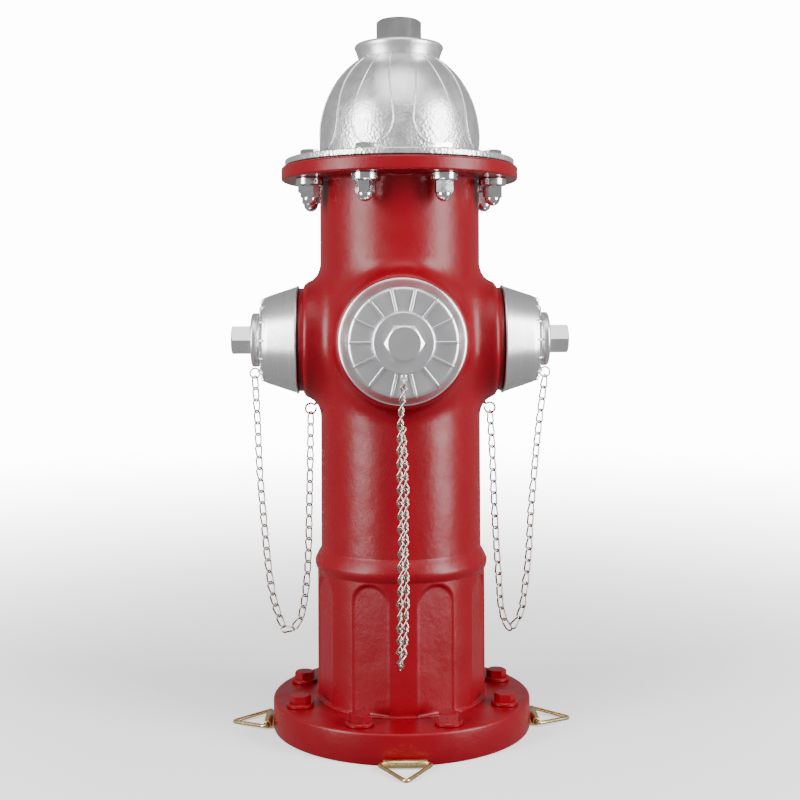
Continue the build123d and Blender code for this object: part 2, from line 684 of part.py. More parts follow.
with BuildPart() as stem_guide:
    with BuildSketch(Plane.XY.offset(guide_z)):
        Circle(barrel_bore_r)
        Circle(barrel_bore_r - guide_ring_w, mode=Mode.SUBTRACT)
        with PolarLocations((barrel_bore_r - guide_ring_w / 2 + guide_hub_r) / 2, guide_arms, 45):
            Rectangle(barrel_bore_r - guide_ring_w / 2 - guide_hub_r + 4, guide_arm_w)
        Circle(guide_hub_r)
        Rectangle(stem_square + 2 * running_gap, stem_square + 2 * running_gap, mode=Mode.SUBTRACT)
    extrude(amount=guide_t)
stem_guide.part.label = "stem_guide"
export_step(stem_guide.part, "parts/stem_guide.step")

seat_ring = tube(seat_r, seat_bore_r, seat_z, seat_top_z)
seat_ring.label = "seat_ring"
export_step(seat_ring, "parts/seat_ring.step")

valve_rubber = tube(valve_rubber_r, stem_rod_r, seat_top_z, seat_top_z + valve_rubber_t)
valve_rubber.label = "valve_rubber"
export_step(valve_rubber, "parts/valve_rubber.step")

valve_upper_plate = tube(valve_plate_r, stem_rod_r, seat_top_z + valve_rubber_t, valve_top_z)
valve_upper_plate.label = "valve_upper_plate"
export_step(valve_upper_plate, "parts/valve_upper_plate.step")

valve_lower_plate = tube(lower_plate_r, stem_rod_r, lower_plate_z, lower_plate_top_z)
valve_lower_plate.label = "valve_lower_plate"
export_step(valve_lower_plate, "parts/valve_lower_plate.step")

with BuildPart() as valve_nut:
    with BuildSketch(Plane.XY.offset(lower_plate_z - stem_nut_t)):
        RegularPolygon(stem_nut_af / 2, 6, major_radius=False)
        Circle(stem_rod_r, mode=Mode.SUBTRACT)
    extrude(amount=stem_nut_t)
valve_nut.part.label = "valve_nut"
export_step(valve_nut.part, "parts/valve_nut.step")

# ---------------------------------------------------------------- outlets: nozzle, cap, gasket, loop
for side, (outward, boss_r, bore_r, thread_r) in outlets.items():
    profile = axial_plane(outward)
    axis = outlet_axis(outward)
    cap_big_r, cap_small_r, cap_disc_r, hex_af = cap_sizes[side]
    loop_r = cap_disc_r - loop_inset
    loop_bore_r = loop_r - loop_w
    body_r = bore_r + nozzle_wall
    flange_reach = neck_end + nozzle_flange_t
    rim_r = thread_r + nozzle_flange_lip

    with BuildPart() as nozzle:
        with BuildSketch(profile):
            with BuildLine():
                Polyline((bore_r, nozzle_root_z), (body_r, nozzle_root_z), (body_r, neck_end),
                         (rim_r, neck_end), (rim_r, flange_reach), (thread_r, flange_reach),
                         (thread_r, thread_end - 1), (thread_r - 1, thread_end),
                         (bore_r, thread_end), close=True)
            make_face()
        revolve(axis=axis)
        # the nozzle's root follows the barrel's bore
        with BuildSketch(Plane.XY.offset(outlet_z - boss_r)):
            Circle(barrel_bore_r)
        extrude(amount=2 * boss_r, mode=Mode.SUBTRACT)
    nozzle.part.label = f"{side}_nozzle"
    export_step(nozzle.part, f"parts/{side}_nozzle.step")

    with BuildPart() as cap_gasket:
        with BuildSketch(face_plane(outward, thread_end)):
            Circle(thread_r)
            Circle(bore_r, mode=Mode.SUBTRACT)
        extrude(amount=gasket_t)
    cap_gasket.part.label = f"{side}_cap_gasket"
    export_step(cap_gasket.part, f"parts/{side}_cap_gasket.step")

    with BuildPart() as cap:
        with BuildSketch(profile):
            with BuildLine():
                slope = (cap_big_r - cap_small_r) / cap_length
                Polyline((thread_r + running_gap, cap_floor), (thread_r + running_gap, flange_reach + cap_gap),
                         (rim_r + cap_gap, flange_reach + cap_gap), (rim_r + cap_gap, cap_mouth),
                         (cap_big_r, cap_mouth), (cap_big_r, cap_mouth + cap_rim_t),
                         (cap_small_r + slope * cap_edge_r, cap_face - cap_edge_r))
                ThreePointArc((cap_small_r + slope * cap_edge_r, cap_face - cap_edge_r),
                              (cap_small_r - cap_edge_r * 0.2, cap_face - cap_edge_r * 0.26),
                              (cap_small_r - cap_edge_r, cap_face))
                Polyline((cap_small_r - cap_edge_r, cap_face), (loop_bore_r - running_gap, cap_face),
                         (loop_bore_r - running_gap, disc_start), (cap_disc_r, disc_start),
                         (cap_disc_r, disc_end - cap_disc_edge_r))
                ThreePointArc((cap_disc_r, disc_end - cap_disc_edge_r),
                              (cap_disc_r - cap_disc_edge_r * 0.3, disc_end - cap_disc_edge_r * 0.3),
                              (cap_disc_r - cap_disc_edge_r, disc_end))
                Polyline((cap_disc_r - cap_disc_edge_r, disc_end), (0, disc_end), (0, cap_floor),
                         (thread_r + running_gap, cap_floor))
            make_face()
        revolve(axis=axis)
        rib_start = loop_r + 2 * running_gap
        rib_end = cap_small_r - cap_edge_r * 0.4
        with BuildSketch(face_plane(outward, cap_face - cap_edge_r)):
            with PolarLocations((rib_start + rib_end) / 2, cap_rib_count, 90):
                Rectangle(rib_end - rib_start, cap_rib_w)
        extrude(amount=cap_edge_r + cap_rib_h)
        with BuildSketch(face_plane(outward, disc_end)):
            RegularPolygon(hex_af / 2, 6, major_radius=False, rotation=30)
        extrude(amount=cap_hex_length)
        hex_ends = [edge for edge in cap.edges().filter_by(GeomType.LINE)
                    if abs((edge.center() - Vector(0, 0, outlet_z)).dot(outward) - hex_end) < 0.01]
        chamfer(hex_ends, hex_chamfer)
    cap.part.label = f"{side}_cap"
    export_step(cap.part, f"parts/{side}_cap.step")

    with BuildPart() as cap_loop:
        with BuildSketch(face_plane(outward, cap_face + flat_gap)):
            Circle(loop_r)
            Circle(loop_bore_r, mode=Mode.SUBTRACT)
        extrude(amount=loop_t)
        bend_r = cap_disc_r + lug_below_disc - lug_root * sqrt(0.5)
        root_start = loop_r - 2
        with BuildSketch(face_plane(outward, lug_start)):
            with Locations((-(root_start + bend_r) / 2, 0)):
                Rectangle(bend_r - root_start, 2 * lug_r)
        extrude(amount=lug_t)
        hole = outward * (lug_start + lug_reach) + Vector(0, 0, outlet_z - cap_disc_r - lug_below_disc)
        with BuildSketch(Plane(origin=hole, x_dir=outward - Vector(0, 0, 1), z_dir=outward + Vector(0, 0, 1))):
            Circle(lug_r)
            with Locations((-lug_root / 2, 0)):
                Rectangle(lug_root, 2 * lug_r)
            Circle(lug_hole_r, mode=Mode.SUBTRACT)
        extrude(amount=lug_t / 2, both=True)
    cap_loop.part.label = f"{side}_cap_loop"
    export_step(cap_loop.part, f"parts/{side}_cap_loop.step")

    centre, inward = eye_place(side)
    ring_plane = Plane(origin=centre, x_dir=inward, z_dir=inward.cross(outward))
    with BuildPart() as chain_eye:
        with BuildLine():
            bow = CenterArc((0, 0), eye_ring_r, 0, 360 - eye_gap_deg)
        with BuildSketch(Plane(origin=(eye_ring_r, 0, 0), z_dir=(0, 1, 0))):
            Circle(eye_wire_r)
        sweep(path=bow)
        with BuildSketch(Plane.YZ.offset(eye_ring_r)):
            Circle(eye_wire_r)
        with BuildSketch(Plane.YZ.offset(eye_ring_r + 5)):
            Circle(eye_cone_r)
        loft()
        with BuildSketch(Plane.YZ.offset(eye_ring_r + 5)):
            Circle(eye_shank_r)
        extrude(amount=eye_shank_end - eye_ring_r - 5)
    placed_eye = ring_plane.location * chain_eye.part
    placed_eye.label = f"{side}_chain_eye"
    export_step(placed_eye, f"parts/{side}_chain_eye.step")

# ---------------------------------------------------------------- straps, screws, tie rings
strap_z = strap_ground_gap
sleeve_z = strap_ground_gap + sleeve_r
sleeve_bore_r = ring_wire_r + running_gap
ring_drop_deg = degrees((sleeve_z - ring_wire_r - 0.1) / ring_reach)
strap_names = ("right", "rear", "left", "front")
for turn, side in enumerate(strap_names):
    azimuth = 360 / strap_count * turn
    with BuildPart() as strap:
        with BuildSketch(Plane.XZ.offset(-strap_length / 2)):
            with Locations((sleeve_out, sleeve_z)):
                Circle(sleeve_r)
            with Locations(((strap_inner_r + sleeve_out) / 2, strap_z + strap_t / 2)):
                Rectangle(sleeve_out - strap_inner_r, strap_t)
            with Locations((sleeve_out, sleeve_z)):
                Circle(sleeve_bore_r, mode=Mode.SUBTRACT)
        extrude(amount=strap_length)
        for offset in (-strap_screw_spacing / 2, strap_screw_spacing / 2):
            with BuildSketch(Plane.XY.offset(strap_z)):
                with Locations((strap_screw_out, offset)):
                    Circle(strap_screw_head_r)
            with BuildSketch(Plane.XY.offset(strap_z + strap_t)):
                with Locations((strap_screw_out, offset)):
                    Circle(strap_screw_r)
            loft(mode=Mode.SUBTRACT)
    placed_strap = strap.part.rotate(Axis.Z, azimuth)
    placed_strap.label = f"{side}_ring_strap"
    export_step(placed_strap, f"parts/{side}_ring_strap.step")

    with BuildPart() as tie_ring:
        with BuildLine(Plane.XY):
            FilletPolyline((0, 0.2), (0, ring_width / 2), (ring_reach, 0), (0, -ring_width / 2), (0, -0.2),
                           radius=ring_bend_r)
        with BuildSketch(Plane(origin=(0, 0.2, 0), z_dir=(0, 1, 0))):
            Circle(ring_wire_r)
        sweep()
    hung = tie_ring.part.rotate(Axis.Y, ring_drop_deg)
    placed_ring = hung.translate((sleeve_out, 0, sleeve_z)).rotate(Axis.Z, azimuth)
    placed_ring.label = f"{side}_tie_ring"
    export_step(placed_ring, f"parts/{side}_tie_ring.step")

with BuildPart() as strap_screws:
    for turn in range(strap_count):
        for offset in (-strap_screw_spacing / 2, strap_screw_spacing / 2):
            place = Vector(strap_screw_out, offset, 0).rotate(Axis.Z, 360 / strap_count * turn)
            with BuildSketch(Plane.XY.offset(strap_z)):
                with Locations(place):
                    Circle(strap_screw_head_r)
            with BuildSketch(Plane.XY.offset(strap_z + strap_t)):
                with Locations(place):
                    Circle(strap_screw_r)
            loft()
            with BuildSketch(Plane.XY.offset(strap_z + strap_t)):
                with Locations(place):
                    Circle(strap_screw_r)
            extrude(amount=strap_screw_length - strap_z)
strap_screws.part.label = "strap_screws"
export_step(strap_screws.part, "parts/strap_screws.step")

# ---------------------------------------------------------------- chains
straight_half = link_inner_length / 2 + link_wire_r - (link_width / 2 - link_wire_r)
with BuildPart() as chain_link:
    side_offset = link_width / 2 - link_wire_r
    with BuildLine():
        Line((-straight_half, side_offset), (straight_half, side_offset))
        CenterArc((straight_half, 0), side_offset, 90, -180)
        Line((straight_half, -side_offset), (-straight_half, -side_offset))
        CenterArc((-straight_half, 0), side_offset, -90, -180)
    with BuildSketch(Plane(origin=(-straight_half, side_offset, 0), z_dir=(1, 0, 0))):
        Circle(link_wire_r)
    sweep()
with BuildPart() as end_ring:
    with BuildSketch(Plane.XZ):
        with Locations((end_ring_r, 0)):
            Circle(link_wire_r)
    revolve(axis=Axis.Z)

for side, route in chain_routes.items():
    outward = outlets[side][0]
    sideways = Vector(0, 0, 1).cross(outward)
    hole = outward * (lug_start + lug_reach)
    hole += Vector(0, 0, outlet_z - cap_sizes[side][2] - lug_below_disc)
    ring_centre = hole + outward * end_ring_out - Vector(0, 0, end_ring_drop)
    contact = link_wire_r + link_play / 2
    route_start = ring_centre - Vector(0, 0, end_ring_r - contact)
    route_end = eye_place(side)[0] - Vector(0, 0, eye_ring_r - contact)
    knots = [outward * out + sideways * across + Vector(0, 0, up) for out, up, across in route]
    path = Spline([route_start] + knots + [route_end])
    link_pitch = link_inner_length - link_play
    link_count = int(path.length / link_pitch) + 1
    ring_plane = Plane(origin=ring_centre, x_dir=outward, z_dir=sideways)
    pieces = [ring_plane.location * end_ring.part]
    for number in range(link_count):
        share = (number + 0.5) / link_count
        along = path.tangent_at(share)
        across = along.cross(sideways).normalized()
        flat = across.cross(along).normalized()
        twist = across if number % 2 else -across
        place = Plane(origin=path.position_at(share), x_dir=along, z_dir=(flat + twist).normalized())
        pieces.append(place.location * chain_link.part)
    chain = Compound(label=f"{side}_chain", children=pieces)
    export_step(chain, f"parts/{side}_chain.step")
    print(side, "chain links", link_count, "length", round(path.length, 1))
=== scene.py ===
"""Looks of the yard hydrant: every casting, cap, fastener, chain and ring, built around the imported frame."""

from math import cos, pi, radians, sin, sqrt

import bpy
import numpy as np
from mathutils import Matrix, Vector


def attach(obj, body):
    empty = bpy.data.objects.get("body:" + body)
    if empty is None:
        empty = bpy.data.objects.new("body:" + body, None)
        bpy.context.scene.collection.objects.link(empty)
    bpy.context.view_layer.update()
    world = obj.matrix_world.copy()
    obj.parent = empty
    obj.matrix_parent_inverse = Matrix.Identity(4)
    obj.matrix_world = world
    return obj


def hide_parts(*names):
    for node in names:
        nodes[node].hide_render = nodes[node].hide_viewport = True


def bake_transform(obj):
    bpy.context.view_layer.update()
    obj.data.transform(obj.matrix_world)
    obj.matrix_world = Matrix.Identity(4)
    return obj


MM = 0.001
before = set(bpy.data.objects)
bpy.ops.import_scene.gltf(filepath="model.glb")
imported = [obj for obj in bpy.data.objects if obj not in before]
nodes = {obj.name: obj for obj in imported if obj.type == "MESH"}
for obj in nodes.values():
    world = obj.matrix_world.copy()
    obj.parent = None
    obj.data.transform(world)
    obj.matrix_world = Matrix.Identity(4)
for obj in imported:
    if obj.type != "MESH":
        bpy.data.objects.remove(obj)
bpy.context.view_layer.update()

# ------------------------------------------------------------------ sizes, in millimetres
base_r, base_t, base_edge = 135.0, 31.0, 2.5
socket_r, socket_depth, seat_pocket_r = 57.5, 12.0, 66.0
pedestal_r, pedestal_bore, recess_w, recess_depth, recess_top = 88.0, 78.0, 39.0, 3.0, 161.0
bead_bottom, bead_mid, bead_top, bead_r = 165.0, 174.5, 187.0, 90.6
barrel_r, barrel_bore = 84.15, 77.05
flange_low, flange_top, flange_r = 571.8, 586.0, 124.7
bonnet_low, bonnet_flange_top, bonnet_r = 587.5, 594.0, 121.0
dome_r, spring_z, dome_rise, hub_z = 84.4, 617.0, 95.5, 699.38
collar_low_r, collar_high_r, collar_top = 42.7, 47.2, 716.38
bonnet_turn = 1.7
nut_z, nut_h, nut_af, nut_neck = 717.58, 25.0, 41.3, 22.0
outlet_z, boss_reach, neck_end, cap_mouth, cap_face = 405.0, 101.8, 106.2, 107.0, 144.7
disc_start, disc_end, hex_end = 148.9, 156.5, 177.7
thread_end = 133.2
tab_lift, lug_reach, lug_below_disc, eye_drop, eye_out = 2.2, 2.5, 4.0, 13.3, 94.9
bolt_count, bolt_start, base_bolt_circle, bonnet_bolt_circle = 8, 22.5, 113.5, 102.0
base_washer_t, top_washer_t, lower_washer_t, acorn_hex_t, acorn_cap_t, acorn_r = 4.0, 1.6, 8.0, 12.5, 8.5, 8.0
sleeve_out, sleeve_r, strap_gap, strap_t, strap_inner_r, strap_length = 140.5, 4.0, 0.9, 1.6, 112.0, 42.0
sleeve_z = strap_gap + sleeve_r
hose = dict(boss=59.5, bore=31.75, thread=38.95, pitch=3.387, big=57.2, small=44.5, disc=28.4, af=29.0,
            finish="turned_x")
pumper = dict(boss=67.0, bore=38.1, thread=46.0, pitch=4.233, big=62.5, small=53.6, disc=30.1, af=32.8,
              finish="turned_y")
SIDES = {
    "left": dict(hose, out=(-1, 0, 0)),
    "right": dict(hose, out=(1, 0, 0)),
    "front": dict(pumper, out=(0, -1, 0)),
}


# ------------------------------------------------------------------ shader helpers
class Shader:
    """A principled material put together node by node."""

    def __init__(self, name):
        self.mat = bpy.data.materials.new(name)
        self.mat.use_nodes = True
        self.tree = self.mat.node_tree
        self.bsdf = self.tree.nodes["Principled BSDF"]
        self.coords = self.add("ShaderNodeTexCoord").outputs["Object"]

    def add(self, kind, **settings):
        node = self.tree.nodes.new(kind)
        for key, value in settings.items():
            setattr(node, key, value)
        return node

    def link(self, a, b):
        self.tree.links.new(a, b)

    def stretch(self, scale):
        """Object coordinates in metres, scaled per axis."""
        node = self.add("ShaderNodeMapping")
        self.link(self.coords, node.inputs["Vector"])
        node.inputs["Scale"].default_value = scale
        return node.outputs["Vector"]

    def noise(self, scale, detail=4.0, rough=0.55, vector=None):
        node = self.add("ShaderNodeTexNoise")
        self.link(vector or self.coords, node.inputs["Vector"])
        node.inputs["Scale"].default_value = scale
        node.inputs["Detail"].default_value = detail
        node.inputs["Roughness"].default_value = rough
        return node.outputs["Fac"]

    def pebbles(self, scale, smooth=0.6):
        node = self.add("ShaderNodeTexVoronoi", feature="SMOOTH_F1")
        self.link(self.coords, node.inputs["Vector"])
        node.inputs["Scale"].default_value = scale
        node.inputs["Smoothness"].default_value = smooth
        return node.outputs["Distance"]

    def ramp(self, fac, low, high, at_low=0.3, at_high=0.7):
        node = self.add("ShaderNodeMapRange")
        self.link(fac, node.inputs["Value"])
        node.inputs["From Min"].default_value = at_low
        node.inputs["From Max"].default_value = at_high
        node.inputs["To Min"].default_value = low
        node.inputs["To Max"].default_value = high
        return node.outputs["Result"]

    def mix(self, fac, a, b):
        node = self.add("ShaderNodeMix", data_type="RGBA")
        self.link(fac, node.inputs["Factor"])
        colours = [s for s in node.inputs if s.type == "RGBA"]
        for socket, value in zip(colours, (a, b)):
            if isinstance(value, tuple):
                socket.default_value = (*value, 1.0)
            else:
                self.link(value, socket)
        return [s for s in node.outputs if s.type == "RGBA"][0]

    def bump(self, height, distance, previous=None):
        """Raise the surface by a height field; the distance is in metres."""
        node = self.add("ShaderNodeBump")
        node.inputs["Strength"].default_value = 1.0
        node.inputs["Distance"].default_value = distance
        self.link(height, node.inputs["Height"])
        if previous is not None:
            self.link(previous, node.inputs["Normal"])
        return node.outputs["Normal"]

    def set(self, **values):
        for key, value in values.items():
            socket = self.bsdf.inputs[key.replace("_", " ")]
            if isinstance(value, (int, float)):
                socket.default_value = value
            elif isinstance(value, tuple):
                socket.default_value = (*value, 1.0)
            else:
                self.link(value, socket)
        return self.mat


def red_paint(name):
    """Thick gloss enamel over sand-cast iron: broad waves, fine ripples and orange peel."""
    s = Shader(name)
    colour = s.mix(s.noise(9.0, 3.0), (0.185, 0.0002, 0.0050), (0.225, 0.0003, 0.0065))
    normal = s.bump(s.noise(22.0, 2.0), 0.0012)
    normal = s.bump(s.noise(160.0, 3.0, 0.6), 0.00022, normal)
    normal = s.bump(s.noise(650.0, 2.0, 0.6), 0.00005, normal)
    return s.set(Base_Color=colour, Metallic=0.0, Roughness=s.ramp(s.noise(45.0, 4.0), 0.30, 0.40),
                 Specular_IOR_Level=0.33, Normal=normal)


def cast_silver(name):
    """Aluminium paint over a sand casting, smooth on the crown and pebbly towards the flange."""
    s = Shader(name)
    colour = s.mix(s.noise(55.0, 5.0), (0.66, 0.66, 0.68), (0.84, 0.84, 0.86))
    height = s.add("ShaderNodeSeparateXYZ")
    s.link(s.coords, height.inputs[0])
    low_down = s.ramp(height.outputs["Z"], 1.0, 0.06, 0.604, 0.650)
    pebbly = s.add("ShaderNodeMath", operation="MULTIPLY")
    s.link(s.pebbles(330.0), pebbly.inputs[0])
    s.link(low_down, pebbly.inputs[1])
    normal = s.bump(pebbly.outputs[0], 0.0005)
    normal = s.bump(s.noise(70.0, 3.0, 0.5), 0.00025, normal)
    normal = s.bump(s.noise(1100.0, 2.0, 0.7), 0.00007, normal)
    return s.set(Base_Color=colour, Metallic=0.92, Roughness=s.ramp(s.noise(90.0, 4.0), 0.27, 0.40),
                 Normal=normal)


def turned_silver(name, axis):
    """Satin paint over a turned surface; fine streaks run round the outlet's axis."""
    s = Shader(name)
    along = [14.0, 14.0, 14.0]
    along[axis] = 1500.0
    streaks = s.noise(1.0, 4.0, 0.7, vector=s.stretch(along))
    colour = s.mix(s.ramp(streaks, 0.0, 1.0, 0.25, 0.75), (0.66, 0.66, 0.68), (0.80, 0.80, 0.82))
    normal = s.bump(streaks, 0.000022)
    normal = s.bump(s.noise(60.0, 3.0, 0.5), 0.00022, normal)
    normal = s.bump(s.noise(1000.0, 2.0, 0.6), 0.00005, normal)
    return s.set(Base_Color=colour, Metallic=0.92, Roughness=s.ramp(streaks, 0.27, 0.36, 0.25, 0.75),
                 Normal=normal)


def plain_metal(name, low, high, rough_low, rough_high, grain=300.0, depth=0.00004, metallic=1.0):
    """Metal that varies between two colours and two roughnesses, with a fine grain."""
    s = Shader(name)
    colour = s.mix(s.noise(80.0, 4.0), low, high)
    normal = s.bump(s.noise(grain, 3.0, 0.6), depth)
    return s.set(Base_Color=colour, Metallic=metallic,
                 Roughness=s.ramp(s.noise(grain / 4, 4.0), rough_low, rough_high), Normal=normal)


def rubber(name):
    """Matt black sheet rubber."""
    s = Shader(name)
    colour = s.mix(s.noise(120.0, 5.0), (0.012, 0.012, 0.012), (0.03, 0.03, 0.03))
    normal = s.bump(s.noise(600.0, 3.0, 0.6), 0.00006)
    return s.set(Base_Color=colour, Metallic=0.0, Roughness=s.ramp(s.noise(200.0), 0.6, 0.8), Normal=normal)


M = {
    "red": red_paint("gloss_red_enamel"),
    "cast": cast_silver("cast_aluminium_paint"),
    "turned_x": turned_silver("turned_cap_silver_side", 0),
    "turned_y": turned_silver("turned_cap_silver_front", 1),
    "chrome": plain_metal("chrome_plate", (0.62, 0.62, 0.63), (0.80, 0.80, 0.80), 0.10, 0.22),
    "chrome_dull": plain_metal("bright_cast_nut", (0.58, 0.58, 0.59), (0.74, 0.74, 0.74), 0.18, 0.32,
                               140.0, 0.00012),
    "nickel": plain_metal("nickel_chain_plate", (0.36, 0.32, 0.28), (0.56, 0.51, 0.46), 0.16, 0.30),
    "brass": plain_metal("pale_brass_wire", (0.62, 0.46, 0.20), (0.80, 0.64, 0.34), 0.18, 0.34),
    "steel": plain_metal("stainless_bar", (0.42, 0.42, 0.42), (0.58, 0.58, 0.57), 0.20, 0.34),
    "bronze": plain_metal("cast_bronze", (0.36, 0.21, 0.09), (0.52, 0.32, 0.14), 0.28, 0.44, 180.0, 0.0001),
    "iron": plain_metal("bare_dark_iron", (0.045, 0.042, 0.040), (0.10, 0.09, 0.085), 0.55, 0.75,
                        220.0, 0.0003, 0.5),
    "rubber": rubber("black_rubber_sheet"),
}


# ------------------------------------------------------------------ mesh helpers
def build(name, verts, faces, material, smooth=True):
    """Mesh object from millimetre points; faces are index tuples."""
    mesh = bpy.data.meshes.new(name)
    mesh.from_pydata((np.asarray(verts, float) * MM).tolist(), [], [tuple(f) for f in faces])
    if smooth:
        mesh.polygons.foreach_set("use_smooth", [True] * len(mesh.polygons))
    mesh.materials.append(material)
    mesh.update()
    obj = bpy.data.objects.new(name, mesh)
    bpy.context.scene.collection.objects.link(obj)
    return obj


def join_parts(parts):
    """(verts, faces) pairs put into one pair."""
    verts, faces, offset = [], [], 0
    for v, f in parts:
        v = np.asarray(v, float)
        verts.append(v)
        faces += [tuple(i + offset for i in face) for face in f]
        offset += len(v)
    return np.vstack(verts), faces


def skin(rows, closed=True):
    """Quads over rows of equal length; closed joins the last point of each row to its first."""
    count = len(rows[0])
    faces = []
    for k in range(len(rows) - 1):
        p, q = k * count, (k + 1) * count
        for i in range(count if closed else count - 1):
            j = (i + 1) % count
            faces.append((p + i, p + j, q + j, q + i))
    return np.vstack(rows), faces


def lathe(segments, count=192):
    """Rings of (radius, height) runs about Z; each run is smooth in itself and sharp against the next."""
    angles = np.arange(count) * 2 * pi / count
    c, s = np.cos(angles), np.sin(angles)
    runs = [[np.stack([r * c, r * s, np.full(count, z)], 1) for r, z in run] for run in segments]
    return join_parts([skin(rows) for rows in runs])


def arc(r_from, z_from, r_to, z_to, bulge, steps=8):
    """Points of a shallow curve between two profile points; a positive bulge swells to the right of travel."""
    out = []
    dr, dz = r_to - r_from, z_to - z_from
    for k in range(steps + 1):
        t = k / steps
        lift = 4 * t * (1 - t) * bulge
        length = sqrt(dr * dr + dz * dz)
        out.append((r_from + dr * t + dz / length * lift, z_from + dz * t - dr / length * lift))
    return out


def corner(r, z, radius, first, second, steps=6):
    """Quarter round at a profile corner between two unit directions of travel."""
    centre = (r - first[0] * radius + second[0] * radius, z - first[1] * radius + second[1] * radius)
    out = []
    for k in range(steps + 1):
        t = pi / 2 * k / steps
        out.append((centre[0] - second[0] * radius * cos(t) + first[0] * radius * sin(t),
                    centre[1] - second[1] * radius * cos(t) + first[1] * radius * sin(t)))
    return out


def tube_along(points, radius, closed=False, count=12):
    """Round wire through points."""
    p = np.asarray(points, float)
    n = len(p)
    if closed:
        tangents = np.roll(p, -1, 0) - np.roll(p, 1, 0)
    else:
        tangents = np.gradient(p, axis=0)
    tangents /= np.linalg.norm(tangents, axis=1)[:, None]
    normal = np.cross(tangents[0], (0.31, 0.52, 0.79))
    normal /= np.linalg.norm(normal)
    verts, faces = [], []
    for k in range(n):
        normal = normal - tangents[k] * np.dot(normal, tangents[k])
        normal /= np.linalg.norm(normal)
        side = np.cross(tangents[k], normal)
        for i in range(count):
            a = 2 * pi * i / count
            verts.append(p[k] + radius * (cos(a) * normal + sin(a) * side))
    for k in range(n if closed else n - 1):
        a, b = k * count, ((k + 1) % n) * count
        shift = 0
        if closed and k == n - 1:
            last = np.asarray(verts[a]) - p[k]
            gaps = [np.linalg.norm(np.asarray(verts[i]) - p[0] - last) for i in range(count)]
            shift = int(np.argmin(gaps))
        for i in range(count):
            j = (i + 1) % count
            faces.append((a + i, a + j, b + (j + shift) % count, b + (i + shift) % count))
    if not closed:
        for first, flip in ((0, True), ((n - 1) * count, False)):
            ring = [first + i for i in range(count)]
            faces.append(tuple(reversed(ring)) if flip else tuple(ring))
    return np.array(verts), faces


def turn_to(outward):
    """Matrix from local Z to an outlet's outward axis, local X up, in millimetres."""
    z = Vector(outward)
    x = Vector((0, 0, 1))
    y = z.cross(x)
    m = Matrix((x, y, z)).transposed().to_4x4()
    m.translation = Vector((0, 0, outlet_z))
    return np.array(m)


def apply(matrix, part):
    """A part moved by a 4 x 4 matrix."""
    v, f = part
    v = np.asarray(v, float)
    return v @ matrix[:3, :3].T + matrix[:3, 3], f


def spin(part, degrees_about_z):
    """A part turned about Z."""
    a = radians(degrees_about_z)
    m = np.eye(4)
    m[:2, :2] = [[cos(a), -sin(a)], [sin(a), cos(a)]]
    return apply(m, part)


def ready(obj, body, slot, *stands_for):
    """Put a finished piece on its body and hide the nodes it stands for; the slot is not used."""
    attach(obj, body)
    if stands_for:
        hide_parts(*stands_for)
    return obj


def hex_solid(af, height, lead_r, fall=0.577, lower=False, count=96, start=30.0):
    """Hexagonal head: flat sides, top edge chamfered to a circle; the underside too when lower is set."""
    angles = radians(start) + np.arange(count) * 2 * pi / count
    local = (np.arange(count) * 360 / count) % 60 - 30
    rh = af / 2 / np.cos(np.radians(local))
    dip = np.maximum(rh - lead_r, 0) * fall
    c, s = np.cos(angles), np.sin(angles)
    rows = []
    if lower:
        rows.append((np.full(count, lead_r), np.zeros(count)))
        rows.append((rh, dip))
    else:
        rows.append((rh, np.zeros(count)))
    rows.append((rh, height - dip))
    rows.append((np.full(count, lead_r), np.full(count, height)))
    verts, faces = skin([np.stack([r * c, r * s, z], 1) for r, z in rows])
    faces.append(tuple((len(rows) - 1) * count + i for i in range(count)))
    faces.append(tuple(reversed(range(count))))
    return verts, faces


